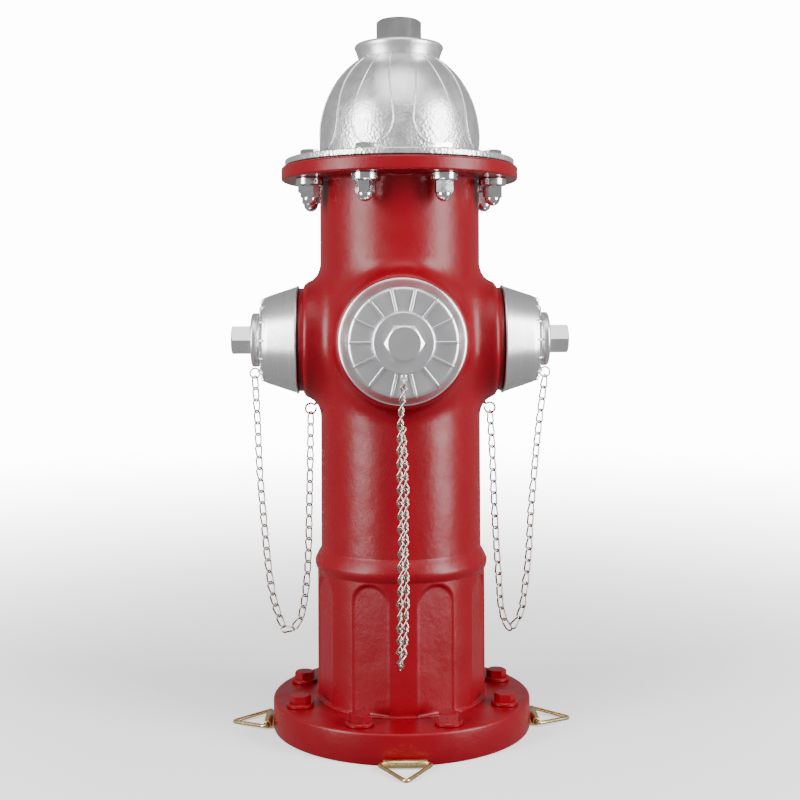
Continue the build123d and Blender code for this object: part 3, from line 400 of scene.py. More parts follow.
# ------------------------------------------------------------------ Geometry Nodes helpers
class Tree:
    """A Geometry Nodes group with named inputs, and the steps that its users share."""

    def __init__(self, name, inputs):
        self.tree = bpy.data.node_groups.new(name, "GeometryNodeTree")
        self.tree.interface.new_socket("Geometry", in_out="OUTPUT", socket_type="NodeSocketGeometry")
        for label, (kind, value) in inputs.items():
            socket = self.tree.interface.new_socket(label, in_out="INPUT", socket_type="NodeSocket" + kind)
            if value is not None:
                socket.default_value = value
        self.given = self.tree.nodes.new("NodeGroupInput").outputs

    def add(self, kind, wires=(), **settings):
        """A node with its settings; wires are pairs of an input and the number or output that feeds it."""
        node = self.tree.nodes.new(kind)
        for key, value in settings.items():
            setattr(node, key, value)
        for key, value in wires:
            if isinstance(value, (int, float)):
                node.inputs[key].default_value = value
            else:
                self.tree.links.new(value, node.inputs[key])
        return node

    def maths(self, operation, *values):
        return self.add("ShaderNodeMath", enumerate(values), operation=operation).outputs["Value"]

    def vectors(self, operation, *values):
        return self.add("ShaderNodeVectorMath", enumerate(values), operation=operation).outputs["Vector"]

    def shape(self, label):
        """The geometry of the object given under a label."""
        return self.add("GeometryNodeObjectInfo", [("Object", self.given[label])]).outputs["Geometry"]

    def chance(self):
        """A number from -1 to 1 for each point, drawn with the given seed."""
        node = self.add("FunctionNodeRandomValue", [("Seed", self.given["Seed"])], data_type="FLOAT")
        lowest, highest = [s for s in node.inputs if s.type == "VALUE"][:2]
        lowest.default_value, highest.default_value = -1.0, 1.0
        return [s for s in node.outputs if s.type == "VALUE"][0]

    def copies(self, points, shape, rotation):
        wires = [("Points", points), ("Instance", shape), ("Rotation", rotation)]
        return self.add("GeometryNodeInstanceOnPoints", wires).outputs[0]

    def finish(self, geometry, smooth=False):
        """Realize the instances, give them the finish and pass them out."""
        geometry = self.add("GeometryNodeRealizeInstances", [(0, geometry)]).outputs[0]
        if smooth:
            geometry = self.add("GeometryNodeSetShadeSmooth", [(0, geometry)]).outputs[0]
        wires = [("Geometry", geometry), ("Material", self.given["Finish"])]
        painted = self.add("GeometryNodeSetMaterial", wires)
        self.add("NodeGroupOutput", [(0, painted.outputs[0])])
        return self.tree


def run_tree(tree, name, values):
    """Evaluate a node group on an empty mesh and keep the result as a plain mesh object."""
    holder = bpy.data.objects.new(name + "_holder", bpy.data.meshes.new(name + "_holder"))
    bpy.context.scene.collection.objects.link(holder)
    modifier = holder.modifiers.new("nodes", "NODES")
    modifier.node_group = tree
    for item in tree.interface.items_tree:
        if item.in_out == "INPUT" and item.name in values:
            modifier[item.identifier] = values[item.name]
    bpy.context.view_layer.update()
    depsgraph = bpy.context.evaluated_depsgraph_get()
    mesh = bpy.data.meshes.new_from_object(holder.evaluated_get(depsgraph), depsgraph=depsgraph)
    mesh.name = name
    bpy.data.objects.remove(holder)
    obj = bpy.data.objects.new(name, mesh)
    bpy.context.scene.collection.objects.link(obj)
    return obj


def ring_tree():
    """Copies of one part set evenly round Z."""
    t = Tree("ring_of_parts", {
        "Part": ("Object", None), "Count": ("Int", 8), "Radius": ("Float", 0.1), "Start": ("Float", 0.0),
        "Height": ("Float", 0.0), "Seed": ("Int", 3), "Loose Turn": ("Float", 0.0),
        "Finish": ("Material", None),
    })
    count, radius = t.given["Count"], t.given["Radius"]
    share = t.maths("DIVIDE", t.add("GeometryNodeInputIndex").outputs[0], count)
    angle = t.maths("ADD", t.maths("MULTIPLY", share, 2 * pi), t.given["Start"])
    x = t.maths("MULTIPLY", t.maths("COSINE", angle), radius)
    y = t.maths("MULTIPLY", t.maths("SINE", angle), radius)
    place = t.add("ShaderNodeCombineXYZ", enumerate((x, y, t.given["Height"])))
    points = t.add("GeometryNodePoints", [("Count", count), ("Position", place.outputs[0])])
    loose = t.maths("MULTIPLY", t.chance(), t.given["Loose Turn"])
    turn = t.add("ShaderNodeCombineXYZ", [(2, t.maths("ADD", angle, loose))])
    return t.finish(t.copies(points.outputs[0], t.shape("Part"), turn.outputs[0]))


RING = ring_tree()


def ring_of(name, part, count, radius, start, height, material, smooth=False, loose=0.0, seed=3, matrix=None):
    """A ring of parts as one object; the radius, the height and the parts are in millimetres."""
    source = build(name + "_one", *part, material, smooth)
    obj = run_tree(RING, name, {"Part": source, "Count": count, "Radius": radius * MM, "Start": radians(start),
                                "Height": height * MM, "Finish": material, "Loose Turn": radians(loose),
                                "Seed": seed})
    bpy.data.objects.remove(source)
    if matrix is not None:
        m = Matrix(matrix.tolist())
        m.translation = m.translation * MM
        obj.data.transform(m)
    return obj


# ------------------------------------------------------------------ base plate
def base_plate():
    """Ring that stands on the ground, with the socket and the seat's pocket beneath."""
    up, inward = (0, 1), (-1, 0)
    outside = [(base_r - 1.5, 0.0), (base_r - 0.4, 0.5), (base_r, 1.6)]
    outside += corner(base_r, base_t, base_edge, up, inward)
    outside.append((pedestal_r - 1.0, base_t))
    part = lathe([
        [(socket_r, 0.0), (base_r - 1.5, 0.0)],
        outside,
        [(pedestal_r - 1.0, base_t), (seat_pocket_r, base_t), (seat_pocket_r, socket_depth + 0.2)],
        [(seat_pocket_r, socket_depth + 0.2), (50.0, socket_depth + 0.2), (50.0, socket_depth),
         (socket_r, socket_depth)],
        [(socket_r, socket_depth), (socket_r, 0.0)],
    ], 360)
    return ready(build("base_plate_casting", *part, M["red"]), "root", "red_paint", "base_flange")


def wandering_bead(name, radius, z, wire, seed):
    """Uneven weld run round the barrel."""
    rng = np.random.default_rng(seed)
    count = 720
    a = np.arange(count) * 2 * pi / count
    ripple = sum(rng.uniform(0.1, 0.3) * np.sin(k * a + rng.uniform(0, 6)) for k in (5, 11, 17, 29, 41))
    ripples = 0.22 * np.abs(np.sin(a * 60 + 2 * np.sin(3 * a)))
    rows = []
    around = 8
    for k in range(around + 1):
        t = -pi / 2 + pi * k / around
        size = wire * (1 + 0.30 * ripple) + ripples
        r = radius + size * np.cos(t)
        h = z + size * np.sin(t) * 0.8
        rows.append(np.stack([r * np.cos(a), r * np.sin(a), h], 1))
    return ready(build(name, *skin(rows), M["red"]), "root", "red_paint")


# ------------------------------------------------------------------ pedestal with arched recesses
def pedestal_casting():
    """Pipe with eight arch-topped recesses, the bead above them, and a small foot fillet."""
    outer = [(pedestal_r + 2.2, base_t - 0.4), (pedestal_r + 0.8, base_t + 0.5), (pedestal_r, base_t + 2.0)]
    outer += [(pedestal_r, z) for z in np.arange(base_t + 3.5, bead_bottom - 1.0, 1.5)]
    outer += arc(pedestal_r, bead_bottom - 0.5, bead_r, bead_mid, 0.9, 10)
    outer += arc(bead_r, bead_mid, barrel_r + 1.4, bead_top - 2.5, 0.25, 8)[1:]
    outer += [(barrel_r + 0.5, bead_top - 1.0), (barrel_r - 0.1, bead_top + 0.4)]
    count = 480
    a = (np.arange(count) + 0.5) * 2 * pi / count
    phi = ((a / (pi / 4)) % 1.0 - 0.5) * pi / 4
    half = recess_w / 2
    rows = []
    for r, z in outer:
        s = pedestal_r * np.sin(phi)
        above = z - (recess_top - half)
        if above > 0:
            outside = np.hypot(s, above) - half
        else:
            outside = np.abs(s) - half
        outside = np.maximum(outside, (base_t + 1.0) - z)
        w = np.clip(0.5 - outside / 2.6, 0, 1)
        w = w * w * (3 - 2 * w)
        floor_r = np.minimum((pedestal_r - recess_depth) / np.cos(phi), r)
        rr = np.full(count, r) * (1 - w) + floor_r * w if z < recess_top + 2 else np.full(count, r)
        rows.append(np.stack([rr * np.cos(a), rr * np.sin(a), np.full(count, z)], 1))
    inner = lathe([[(pedestal_bore, bead_bottom), (pedestal_bore, base_t)],
                   [(pedestal_bore, base_t), (pedestal_r, base_t)]], 180)
    part = join_parts([skin(rows), inner])
    return ready(build("pedestal_casting", *part, M["red"]), "root", "red_paint", "pedestal")


# ------------------------------------------------------------------ barrel with blended bosses
def soft_max(a, b, k):
    """Larger of two fields, rounded where they come within k of each other."""
    h = np.maximum(k - np.abs(a - b), 0) / k
    return np.maximum(a, b) + h * h * k * 0.25


def along_outlet(points, side, height=outlet_z):
    """How far points lie along an outlet's axis, and how far away from it."""
    out = np.array(side["out"], float)
    moved = points - (0, 0, height)
    along = moved @ out
    return along, np.linalg.norm(moved - np.outer(along, out), axis=1)


def barrel_depth(p):
    """Signed distance of points, counted from the outlets' centre, to the barrel with its blended bosses."""
    shell = np.hypot(p[:, 0], p[:, 1]) - barrel_r
    bosses = None
    for side in SIDES.values():
        along, away = along_outlet(p, side, 0.0)
        # each boss runs from the hydrant's axis outward only
        q = np.stack([away - side["boss"], np.maximum(along - boss_reach, -along)], 1)
        edge = 6.0
        d = np.linalg.norm(np.maximum(q + edge, 0), axis=1) + np.minimum(np.max(q + edge, axis=1), 0) - edge
        bosses = d if bosses is None else -soft_max(-bosses, -d, 16.0)
    return -soft_max(-shell, -bosses, 24.0)


def barrel_casting():
    """Pipe that swells into the three outlet bosses, found by looking outward from the outlets' centre."""
    count, steep = 480, 150
    a = (np.arange(count) + 0.5) * 2 * pi / count
    flat = np.stack([np.cos(a), np.sin(a), np.zeros(count)], 1)
    rows = []
    low = outlet_z - barrel_r
    high = outlet_z + barrel_r
    for z in np.linspace(bead_top - 1.5, low, 10)[:-1]:
        rows.append(flat * barrel_r + (0, 0, z))
    for k in range(steep + 1):
        lean = -pi / 4 + pi / 2 * k / steep
        ray = np.stack([np.cos(a) * cos(lean), np.sin(a) * cos(lean), np.full(count, sin(lean))], 1)
        near, far = np.full(count, 60.0), np.full(count, 190.0)
        for _ in range(26):
            middle = (near + far) / 2
            inside = barrel_depth(ray * middle[:, None]) < 0
            near = np.where(inside, middle, near)
            far = np.where(inside, far, middle)
        rows.append(ray * near[:, None] + (0, 0, outlet_z))
    for z in np.linspace(high, flange_low - 3.0, 8)[1:]:
        rows.append(flat * barrel_r + (0, 0, z))
    for lift in (0.25, 0.5, 0.75, 1.0):
        t = pi / 2 * lift
        rows.append(flat * (barrel_r + 3.0 * (1 - cos(t))) + (0, 0, flange_low - 3.0 + 3.0 * sin(t)))
    verts, faces = skin(rows)
    keep = np.ones(len(verts), bool)
    for side in SIDES.values():
        along, away = along_outlet(verts, side)
        keep &= ~((along > 90) & (away < side["boss"] - 8.0))
    faces = [f for f in faces if keep[list(f)].any()]
    parts = [(verts, faces)]
    inner_rows = np.arange(bead_bottom, flange_top + 3, 3.5)
    inner = lathe([[(barrel_bore, z) for z in inner_rows[::-1]]], 240)
    centre = np.array([np.mean(inner[0][list(f)], axis=0) for f in inner[1]])
    solid = np.ones(len(centre), bool)
    for side in SIDES.values():
        along, away = along_outlet(centre, side)
        solid &= ~((along > 0) & (away < side["bore"] + 3.0))
        neck = lathe([
            [(side["boss"] - 5.0, boss_reach - 1.0), (side["boss"] - 5.0, neck_end - 0.6),
             (side["boss"] - 5.6, neck_end)],
            [(side["boss"] - 5.6, neck_end), (side["bore"] + 4.5, neck_end)],
            [(side["bore"] + 4.5, neck_end), (side["bore"] + 4.5, 84.0)],
        ], 144)
        parts.append(apply(turn_to(side["out"]), neck))
    parts.append((inner[0], [f for f, good in zip(inner[1], solid) if good]))
    part = join_parts(parts)
    return ready(build("barrel_casting", *part, M["red"]), "root", "red_paint", "barrel")


def barrel_flange():
    """Ring at the barrel's top, rounded at its rim."""
    up, inward, outward = (0, 1), (-1, 0), (1, 0)
    low_round, top_round = 2.6, 2.2
    part = lathe([
        [(barrel_r, flange_low), (flange_r - low_round, flange_low)]
        + corner(flange_r, flange_low, low_round, outward, up)[1:]
        + corner(flange_r, flange_top, top_round, up, inward) + [(barrel_bore, flange_top)],
    ], 360)
    return ready(build("barrel_flange", *part, M["red"]), "root", "red_paint", "top_flange")


# ------------------------------------------------------------------ bonnet
def dome_point(z):
    """Radius of the dome at a height."""
    return dome_r * sqrt(max(1 - ((z - spring_z) / dome_rise) ** 2, 0)) if z > spring_z else dome_r


PETAL_LOW, PETAL_WIDEST, PETAL_HALF = 602.0, 629.0, 22.5
PETAL_SHAPE = ([PETAL_WIDEST, 645.0, 663.0, 680.0, 696.0, 700.0], [PETAL_HALF, 20.2, 15.8, 11.4, 7.8, 7.2])


def petal_half(z):
    """Half width of a petal at a height: a half ellipse below its widest place, narrowing above it."""
    if z < PETAL_LOW:
        return -1.0
    if z < PETAL_WIDEST:
        return PETAL_HALF * sqrt(max(1 - ((PETAL_WIDEST - z) / (PETAL_WIDEST - PETAL_LOW)) ** 2, 0))
    return float(np.interp(z, *PETAL_SHAPE))


def bonnet_casting():
    """Thin flange, dome with eight raised petals, and the inside with the nut's guide."""
    up, inward, outward = (0, 1), (-1, 0), (1, 0)
    guide_r, guide_low, pocket_r, pocket_top, skirt_r = 17.3, 655.0, 25.3, 684.0, 78.4
    flange = lathe([
        [(skirt_r, bonnet_low), (bonnet_r - 1.0, bonnet_low)]
        + corner(bonnet_r, bonnet_low, 1.0, outward, up, 4)[1:]
        + corner(bonnet_r, bonnet_flange_top, 1.6, up, inward, 5) + [(dome_r + 4.0, bonnet_flange_top)],
    ], 360)
    count = 720
    a = (np.arange(count) + 0.5) * 2 * pi / count
    phi = (((a - radians(bonnet_turn)) / (pi / 4)) % 1.0 - 0.5) * pi / 4
    profile = [(dome_r + 4.0 * (1 - sin(t)), bonnet_flange_top + 4.0 * (1 - cos(t)))
               for t in (0, pi / 8, pi / 4, 3 * pi / 8, pi / 2)]
    profile += [(dome_r, z) for z in np.arange(bonnet_flange_top + 5.2, spring_z, 1.2)]
    last = np.arctan2(sqrt(1 - (collar_low_r / dome_r) ** 2), collar_low_r / dome_r)
    for k in range(90):
        t = last * k / 89
        profile.append((dome_r * cos(t), spring_z + dome_rise * sin(t)))
    rows = []
    for r, z in profile:
        u = np.abs(r * np.sin(phi))
        if z > PETAL_LOW:
            d = u - petal_half(z)
            if z < PETAL_WIDEST:
                reach = np.hypot(u / PETAL_HALF, (PETAL_WIDEST - z) / (PETAL_WIDEST - PETAL_LOW))
                d = (reach - 1.0) * 24.0
            w = np.clip(0.5 - d / 1.2, 0, 1)
            lift = 0.30 * w * w * (3 - 2 * w)
        else:
            lift = np.zeros(count)
        if z > spring_z:
            slope = np.array([(r / dome_r ** 2), (z - spring_z) / dome_rise ** 2])
            slope /= np.linalg.norm(slope)
        else:
            slope = np.array([1.0, 0.0])
        rr = r + lift * slope[0]
        rows.append(np.stack([rr * np.cos(a), rr * np.sin(a), z + lift * slope[1]], 1))
    rows.append(np.stack([36.0 * np.cos(a), 36.0 * np.sin(a), np.full(count, hub_z)], 1))
    inside = lathe([[(guide_r, hub_z), (guide_r, guide_low)], [(guide_r, guide_low), (pocket_r, guide_low)],
                    [(pocket_r, guide_low), (pocket_r, pocket_top)],
                    [(pocket_r, pocket_top), (50.0, 673.0), (70.0, 645.0), (skirt_r, spring_z),
                     (skirt_r, bonnet_low)]], 144)
    part = join_parts([flange, skin(rows), inside])
    return ready(build("bonnet_casting", *part, M["cast"]), "root", "silver_casting", "bonnet")


def ridge_tree():
    """Round ridge swept along a closed outline."""
    t = Tree("petal_ridge", {"Outline": ("Object", None), "Ridge Radius": ("Float", 0.0007),
                             "Finish": ("Material", None)})
    circle = t.add("GeometryNodeCurvePrimitiveCircle",
                   [("Resolution", 10), ("Radius", t.given["Ridge Radius"])])
    sweep = t.add("GeometryNodeCurveToMesh", [("Curve", t.shape("Outline")),
                                              ("Profile Curve", circle.outputs["Curve"])])
    return t.finish(sweep.outputs[0], smooth=True)


def petal_ridges():
    """Raised line round each petal."""
    curve = bpy.data.curves.new("petal_outline", "CURVE")
    curve.dimensions = "3D"
    rounded = PETAL_LOW + (PETAL_WIDEST - PETAL_LOW) * (1 - np.cos(np.linspace(0, pi / 2, 22)))
    heights = np.concatenate([rounded, np.linspace(PETAL_WIDEST, hub_z - 0.6, 40)[1:]])
    for k in range(8):
        azimuth = pi / 4 * (k + 0.5) + radians(bonnet_turn)
        outline = []
        for sign, levels in ((-1, heights[::-1]), (1, heights[1:])):
            for z in levels:
                r = dome_point(z) + 0.05
                phi = np.arcsin(np.clip(sign * petal_half(z) / r, -1, 1))
                outline.append((r * cos(azimuth + phi), r * sin(azimuth + phi), z))
        spline = curve.splines.new("POLY")
        spline.points.add(len(outline) - 1)
        for point, place in zip(spline.points, outline):
            point.co = (place[0] * MM, place[1] * MM, place[2] * MM, 1.0)
    holder = bpy.data.objects.new("petal_outline", curve)
    bpy.context.scene.collection.objects.link(holder)
    obj = run_tree(ridge_tree(), "petal_ridges",
                   {"Outline": holder, "Ridge Radius": 0.95 * MM, "Finish": M["cast"]})
    bpy.data.objects.remove(holder)
    return ready(obj, "root", "silver_casting")


# ------------------------------------------------------------------ collar and operating nut
def collar():
    """Flared ring that holds the nut down."""
    part = lathe([
        [(37.0, hub_z), (collar_low_r - 0.4, hub_z), (collar_low_r, hub_z + 0.5)]
        + arc(collar_low_r, hub_z + 0.5, collar_high_r, collar_top - 3.8, -0.35, 6)[1:]
        + corner(collar_high_r, collar_top, 3.6, (0, 1), (-1, 0), 8)
        + [(nut_neck + 3.2, collar_top)],
        [(nut_neck + 3.2, collar_top), (nut_neck + 2.6, collar_top - 0.6), (nut_neck + 2.6, collar_top - 5.0),
         (36.0, collar_top - 5.0), (36.0, hub_z)],
    ], 240)
    return ready(build("hold_down_collar_shell", *part, M["cast"]), "root", "silver_casting",
                 "hold_down_collar")


def operating_nut():
    """Hexagon on a flanged shank, bored from below for the stem."""
    count, bore, bore_top, shank, shank_end = 120, 12.3, 735.0, 17.0, 655.0
    flange, flange_under, flange_over = 30.0, 701.4, 706.3
    verts, faces = hex_solid(nut_af, nut_h, nut_af / 2 * 0.985, fall=0.5, count=count, start=0.0)
    low = verts[:count]
    mouth = low * (bore / np.linalg.norm(low[:, :2], axis=1))[:, None]
    first = len(verts)
    faces = faces[:-1] + [((i + 1) % count, i, first + i, first + (i + 1) % count) for i in range(count)]
    head = (np.vstack([verts, mouth]) + (0, 0, nut_z), faces)
    neck = lathe([[(shank, shank_end), (shank, flange_under)],
                  [(shank, flange_under), (flange, flange_under), (flange, flange_over), (nut_neck, flange_over)],
                  [(nut_neck, flange_over), (nut_neck, nut_z + 0.4)],
                  [(nut_neck, nut_z + 0.4), (bore, nut_z + 0.4)],
                  [(0.0, bore_top), (bore, bore_top)], [(bore, bore_top), (bore, shank_end)],
                  [(bore, shank_end), (shank, shank_end)]], count)
    part = join_parts([head, neck])
    return ready(build("operating_nut_head", *part, M["chrome_dull"], smooth=False), "operating_nut",
                 "silver_casting", "operating_nut")


# ------------------------------------------------------------------ flange fasteners
def washer_part(outer, inner, height, edge):
    """Washer with bevelled edges, standing on its underside."""
    return lathe([[(inner, 0.0), (outer - edge, 0.0), (outer, edge), (outer, height - edge),
                   (outer - edge, height), (inner, height)], [(inner, height), (inner, 0.0)]], 64)


def fasteners():
    """Rings of bolts, washers and acorn nuts; the loose turn lets each hexagon stop where it was tightened."""
    bolt = join_parts([hex_solid(17.0, 5.2, 8.1), lathe([[(5.0, -42.0), (5.0, 0.0)]], 32)])
    crown = [(acorn_r * cos(t), 0.2 - acorn_cap_t * sin(t)) for t in np.linspace(pi / 2, 0, 12)]
    acorn = join_parts([hex_solid(17.0, acorn_hex_t, 8.2, lower=True), lathe([crown + [(7.9, 0.9)]], 48)])
    nut_seat = flange_low - lower_washer_t
    rings = (
        ("base_hex_bolts", "base_bolts", hex_solid(19.0, 7.5, 9.1), base_t + base_washer_t, 14.0, 11),
        ("base_bolt_washers", "base_washers", washer_part(14.0, 6.2, base_washer_t, 0.9), base_t, 0.0, 3),
        ("bonnet_hex_bolts", "bonnet_bolts", bolt, bonnet_flange_top + top_washer_t, 12.0, 5),
        ("bonnet_top_washer_set", "bonnet_top_washers", washer_part(11.0, 5.2, top_washer_t, 0.4),
         bonnet_flange_top, 0.0, 3),
        ("bonnet_lower_washer_set", "bonnet_lower_washers", washer_part(14.2, 5.2, lower_washer_t, 1.0),
         nut_seat, 0.0, 3),
        ("acorn_nut_set", "acorn_nuts", acorn, nut_seat - acorn_hex_t, 14.0, 8),
    )
    for name, node, part, height, loose, seed in rings:
        if node.startswith("base"):
            circle, start, finish, slot = base_bolt_circle, bolt_start, M["red"], "red_paint"
        else:
            circle, start = bonnet_bolt_circle, bolt_start + bonnet_turn
            finish, slot = M["chrome"], "bright_fastener"
        obj = ring_of(name, part, bolt_count, circle, start, height, finish, loose=loose, seed=seed)
        ready(obj, "root", slot, node)


# ------------------------------------------------------------------ outlets
def thread_part(outer, root, pitch, start, end, count=72):
    """Helical thread crests on a nozzle, with a shallow rounded form."""
    steps = int((end - start) / pitch * count)
    rows = []
    for offset, r in ((-0.5, root), (-0.18, outer), (0.18, outer), (0.5, root)):
        t = np.arange(steps + 1)
        a = 2 * pi * t / count
        z = start + pitch * (t / count + offset)
        fade = np.clip(np.minimum(t, steps - t) / (count * 0.4), 0, 1)
        rr = root + (r - root) * fade
        z = np.clip(z, start - 0.2, end)
        rows.append(np.stack([rr * np.cos(a), rr * np.sin(a), z], 1))
    return skin(rows, closed=False)


def rib_part(inner, outer, lift, drop):
    """One cap rib lying along local X from inner to outer radius, its outer end running over the rim."""
    stations = [(inner, 0.0), (inner + 0.5, lift)]
    stations += [(x, lift) for x in np.linspace(inner + 2, outer - 3.4, 6)]
    for t in np.linspace(0.15, 1.0, 6):
        stations.append((outer - 3.4 + 3.9 * sin(t * pi / 2), lift - (drop + lift) * (1 - cos(t * pi / 2))))
    section = [(-1.45, -1.2), (-1.2, -0.35), (-0.75, 0.0), (0.75, 0.0), (1.2, -0.35), (1.45, -1.2)]
    verts = []
    for k, (x, z) in enumerate(stations):
        if k + 1 < len(stations):
            dx, dz = stations[k + 1][0] - x, stations[k + 1][1] - z
        length = max(sqrt(dx * dx + dz * dz), 1e-6)
        nx, nz = -dz / length, dx / length
        for y, h in section:
            verts.append((x + nx * h, y, z + nz * h))
    m = len(section)
    faces = []
    for k in range(len(stations) - 1):
        for i in range(m - 1):
            faces.append((k * m + i, (k + 1) * m + i, (k + 1) * m + i + 1, k * m + i + 1))
    faces.append(tuple(range(m)))
    faces.append(tuple(reversed([(len(stations) - 1) * m + i for i in range(m)])))
    return np.array(verts), faces


def cap_pieces(name, side):
    """Hose cap: tapered shell with its disc, the hexagon, and fourteen ribs round the face."""
    finish = M[side["finish"]]
    body = name + "_cap"
    turn = turn_to(side["out"])
    big, small, disc = side["big"], side["small"], side["disc"]
    slope = (big - small) / (cap_face - cap_mouth)
    floor_z, thread = thread_end + 3.0, side["thread"] + 0.3
    edge = 4.6
    shell = lathe([
        [(big - 2.2, cap_mouth), (big - 0.4, cap_mouth), (big, cap_mouth + 0.4), (big, cap_mouth + 1.6)],
        [(big, cap_mouth + 1.6), (big - 0.9, cap_mouth + 2.0)],
        [(big - 0.9, cap_mouth + 2.0)]
        + [(big - 0.9 - (slope * 0.985) * (z - cap_mouth - 2.0), z)
           for z in np.linspace(cap_mouth + 2.0, cap_face - edge, 9)[1:]]
        + [(small + slope * edge - 0.6 - edge * 1.05 * (1 - cos(t)), cap_face - edge + edge * sin(t))
           for t in np.linspace(0.15, pi / 2, 9)]
        + [(disc - 5.2, cap_face)],
        [(disc - 5.0, cap_face), (disc - 5.0, disc_start)],
        [(disc - 5.0, disc_start), (disc - 0.8, disc_start), (disc, disc_start + 0.8)]
        + corner(disc, disc_end, 2.6, (0, 1), (-1, 0), 8) + [(4.0, disc_end), (0.01, disc_end)],
        [(thread, floor_z), (thread, 110.0)],
        [(thread, 110.0), (thread + 4.5, 110.0), (thread + 4.5, cap_mouth)],
        [(thread + 4.5, cap_mouth), (big - 2.2, cap_mouth)],
        [(0.01, floor_z), (thread, floor_z)],
    ], 288)
    verts, faces = hex_solid(side["af"], hex_end - disc_end + 1.0, side["af"] / 2 * 0.93, fall=0.62, count=120)
    hexagon = (verts + (0, 0, disc_end - 1.0), faces)
    obj = build(name + "_cap_shell", *apply(turn, shell), finish)
    ready(obj, body, "silver_casting", name + "_cap")
    obj = build(name + "_cap_hexagon", *apply(turn, hexagon), finish, smooth=False)
    ready(obj, body, "silver_casting")
    rib = rib_part(disc - 1.0, small + 0.6, 2.0, 5.2)
    obj = ring_of(name + "_cap_ribs", rib, 14, 0.0, 90.0, cap_face, finish, smooth=True, matrix=turn)
    ready(obj, body, "silver_casting")


def nozzle_pieces(name, side):
    """Threaded nozzle in the barrel's boss."""
    turn = turn_to(side["out"])
    bore, thread = side["bore"], side["thread"]
    root = thread - 1.9
    part = lathe([
        [(bore, thread_end), (bore, 72.5)],
        [(bore, 72.5), (bore + 4.5, 72.5), (bore + 4.5, neck_end)],
        [(bore + 4.5, neck_end), (thread + 4.0, neck_end)],
        [(thread + 4.0, neck_end), (thread + 4.0, neck_end + 2.6), (thread + 3.6, neck_end + 3.0),
         (root, neck_end + 3.0)],
        [(root, neck_end + 3.0), (root, thread_end - 1.0), (root - 0.6, thread_end - 0.2),
         (bore + 0.6, thread_end), (bore, thread_end)],
    ], 144)
    crests = thread_part(thread - 0.05, root, side["pitch"], neck_end + 4.6, thread_end - 1.0)
    obj = build(name + "_nozzle_thread", *apply(turn, join_parts([part, crests])), M["bronze"])
    ready(obj, "root", "bronze", name + "_nozzle")


def loop_pieces(name, side):
    """Flat ring round the cap's disc, with a bent and drilled tab for the chain."""
    turn = turn_to(side["out"])
    disc = side["disc"]
    outer, inner, low = disc - 0.7, disc - 4.7, cap_face + 0.1
    ring = lathe([[(inner, low), (outer - 0.5, low), (outer, low + 0.5), (outer, low + 3.5),
                   (outer - 0.5, low + 4.0), (inner, low + 4.0)], [(inner, low + 4.0), (inner, low)]], 144)
    tab_start = cap_face + tab_lift
    hole_drop = disc + lug_below_disc
    bend = hole_drop - 2.9 * sqrt(0.5)
    half, thick, hole_r = 3.1, 0.6, 1.9
    # the tab is a strip bent half way down and drilled for the chain's end ring
    path = [(outer - 2.0, tab_start + thick), (bend - 0.8, tab_start + thick),
            (bend - 0.1, tab_start + thick + 0.25), (bend + 0.7, tab_start + thick + 0.9)]
    verts, faces = [], []
    for x, z in path:
        for y in (-half, half):
            for t in (-thick, thick):
                verts.append((-x, y, z + t))
    for k in range(len(path) - 1):
        a, b = 4 * k, 4 * (k + 1)
        for p, q in ((0, 1), (1, 3), (3, 2), (2, 0)):
            faces.append((a + p, b + p, b + q, a + q))
    faces += [(0, 1, 3, 2), tuple(reversed([4 * (len(path) - 1) + i for i in (0, 1, 3, 2)]))]
    strip = (np.array(verts, float), faces)
    eye = lathe([[(hole_r, -thick), (half - 0.2, -thick), (half, -thick + 0.2), (half, thick - 0.2),
                  (half - 0.2, thick), (hole_r, thick)], [(hole_r, thick), (hole_r, -thick)]], 40)
    c = sqrt(0.5)
    lean = np.array([[-c, 0, c, -hole_drop], [0, -1, 0, 0], [c, 0, c, tab_start + lug_reach], [0, 0, 0, 1.0]])
    part = join_parts([ring, strip, apply(lean, eye)])
    obj = build(name + "_chain_loop", *apply(turn, part), M[side["finish"]])
    ready(obj, name + "_loop", "nickel_chain", name + "_cap_loop")


def eye_centre(side):
    """Centre of a screw eye's ring, below its boss."""
    return Vector((0, 0, outlet_z - side["boss"] - eye_drop)) + Vector(side["out"]) * eye_out


def eye_screw(name, side):
    """Screw eye of the chain: a bent wire ring, its neck and cone, painted over with the barrel."""
    out = Vector(side["out"])
    centre = eye_centre(side)
    inward = (Vector((0, 0, 1)) - out).normalized()
    across = inward.cross(out).normalized()
    other = across.cross(inward)
    angles = np.linspace(0, radians(324), 48)
    bow = [centre + inward * (EYE_RING_R * cos(a)) + other * (EYE_RING_R * sin(a)) for a in angles]
    wire = tube_along([tuple(p) for p in bow], 1.0, count=12)
    m = np.eye(4)
    m[:3, 0], m[:3, 1], m[:3, 2] = across, inward.cross(across), inward
    m[:3, 3] = centre
    neck = apply(m, lathe([[(0.9, 5.2), (1.2, 6.4), (2.2, 10.3), (2.3, 12.0)]], 32))
    obj = build(name + "_screw_eye", *join_parts([wire, neck]), M["red"])
    ready(obj, "root", "red_paint", name + "_chain_eye")


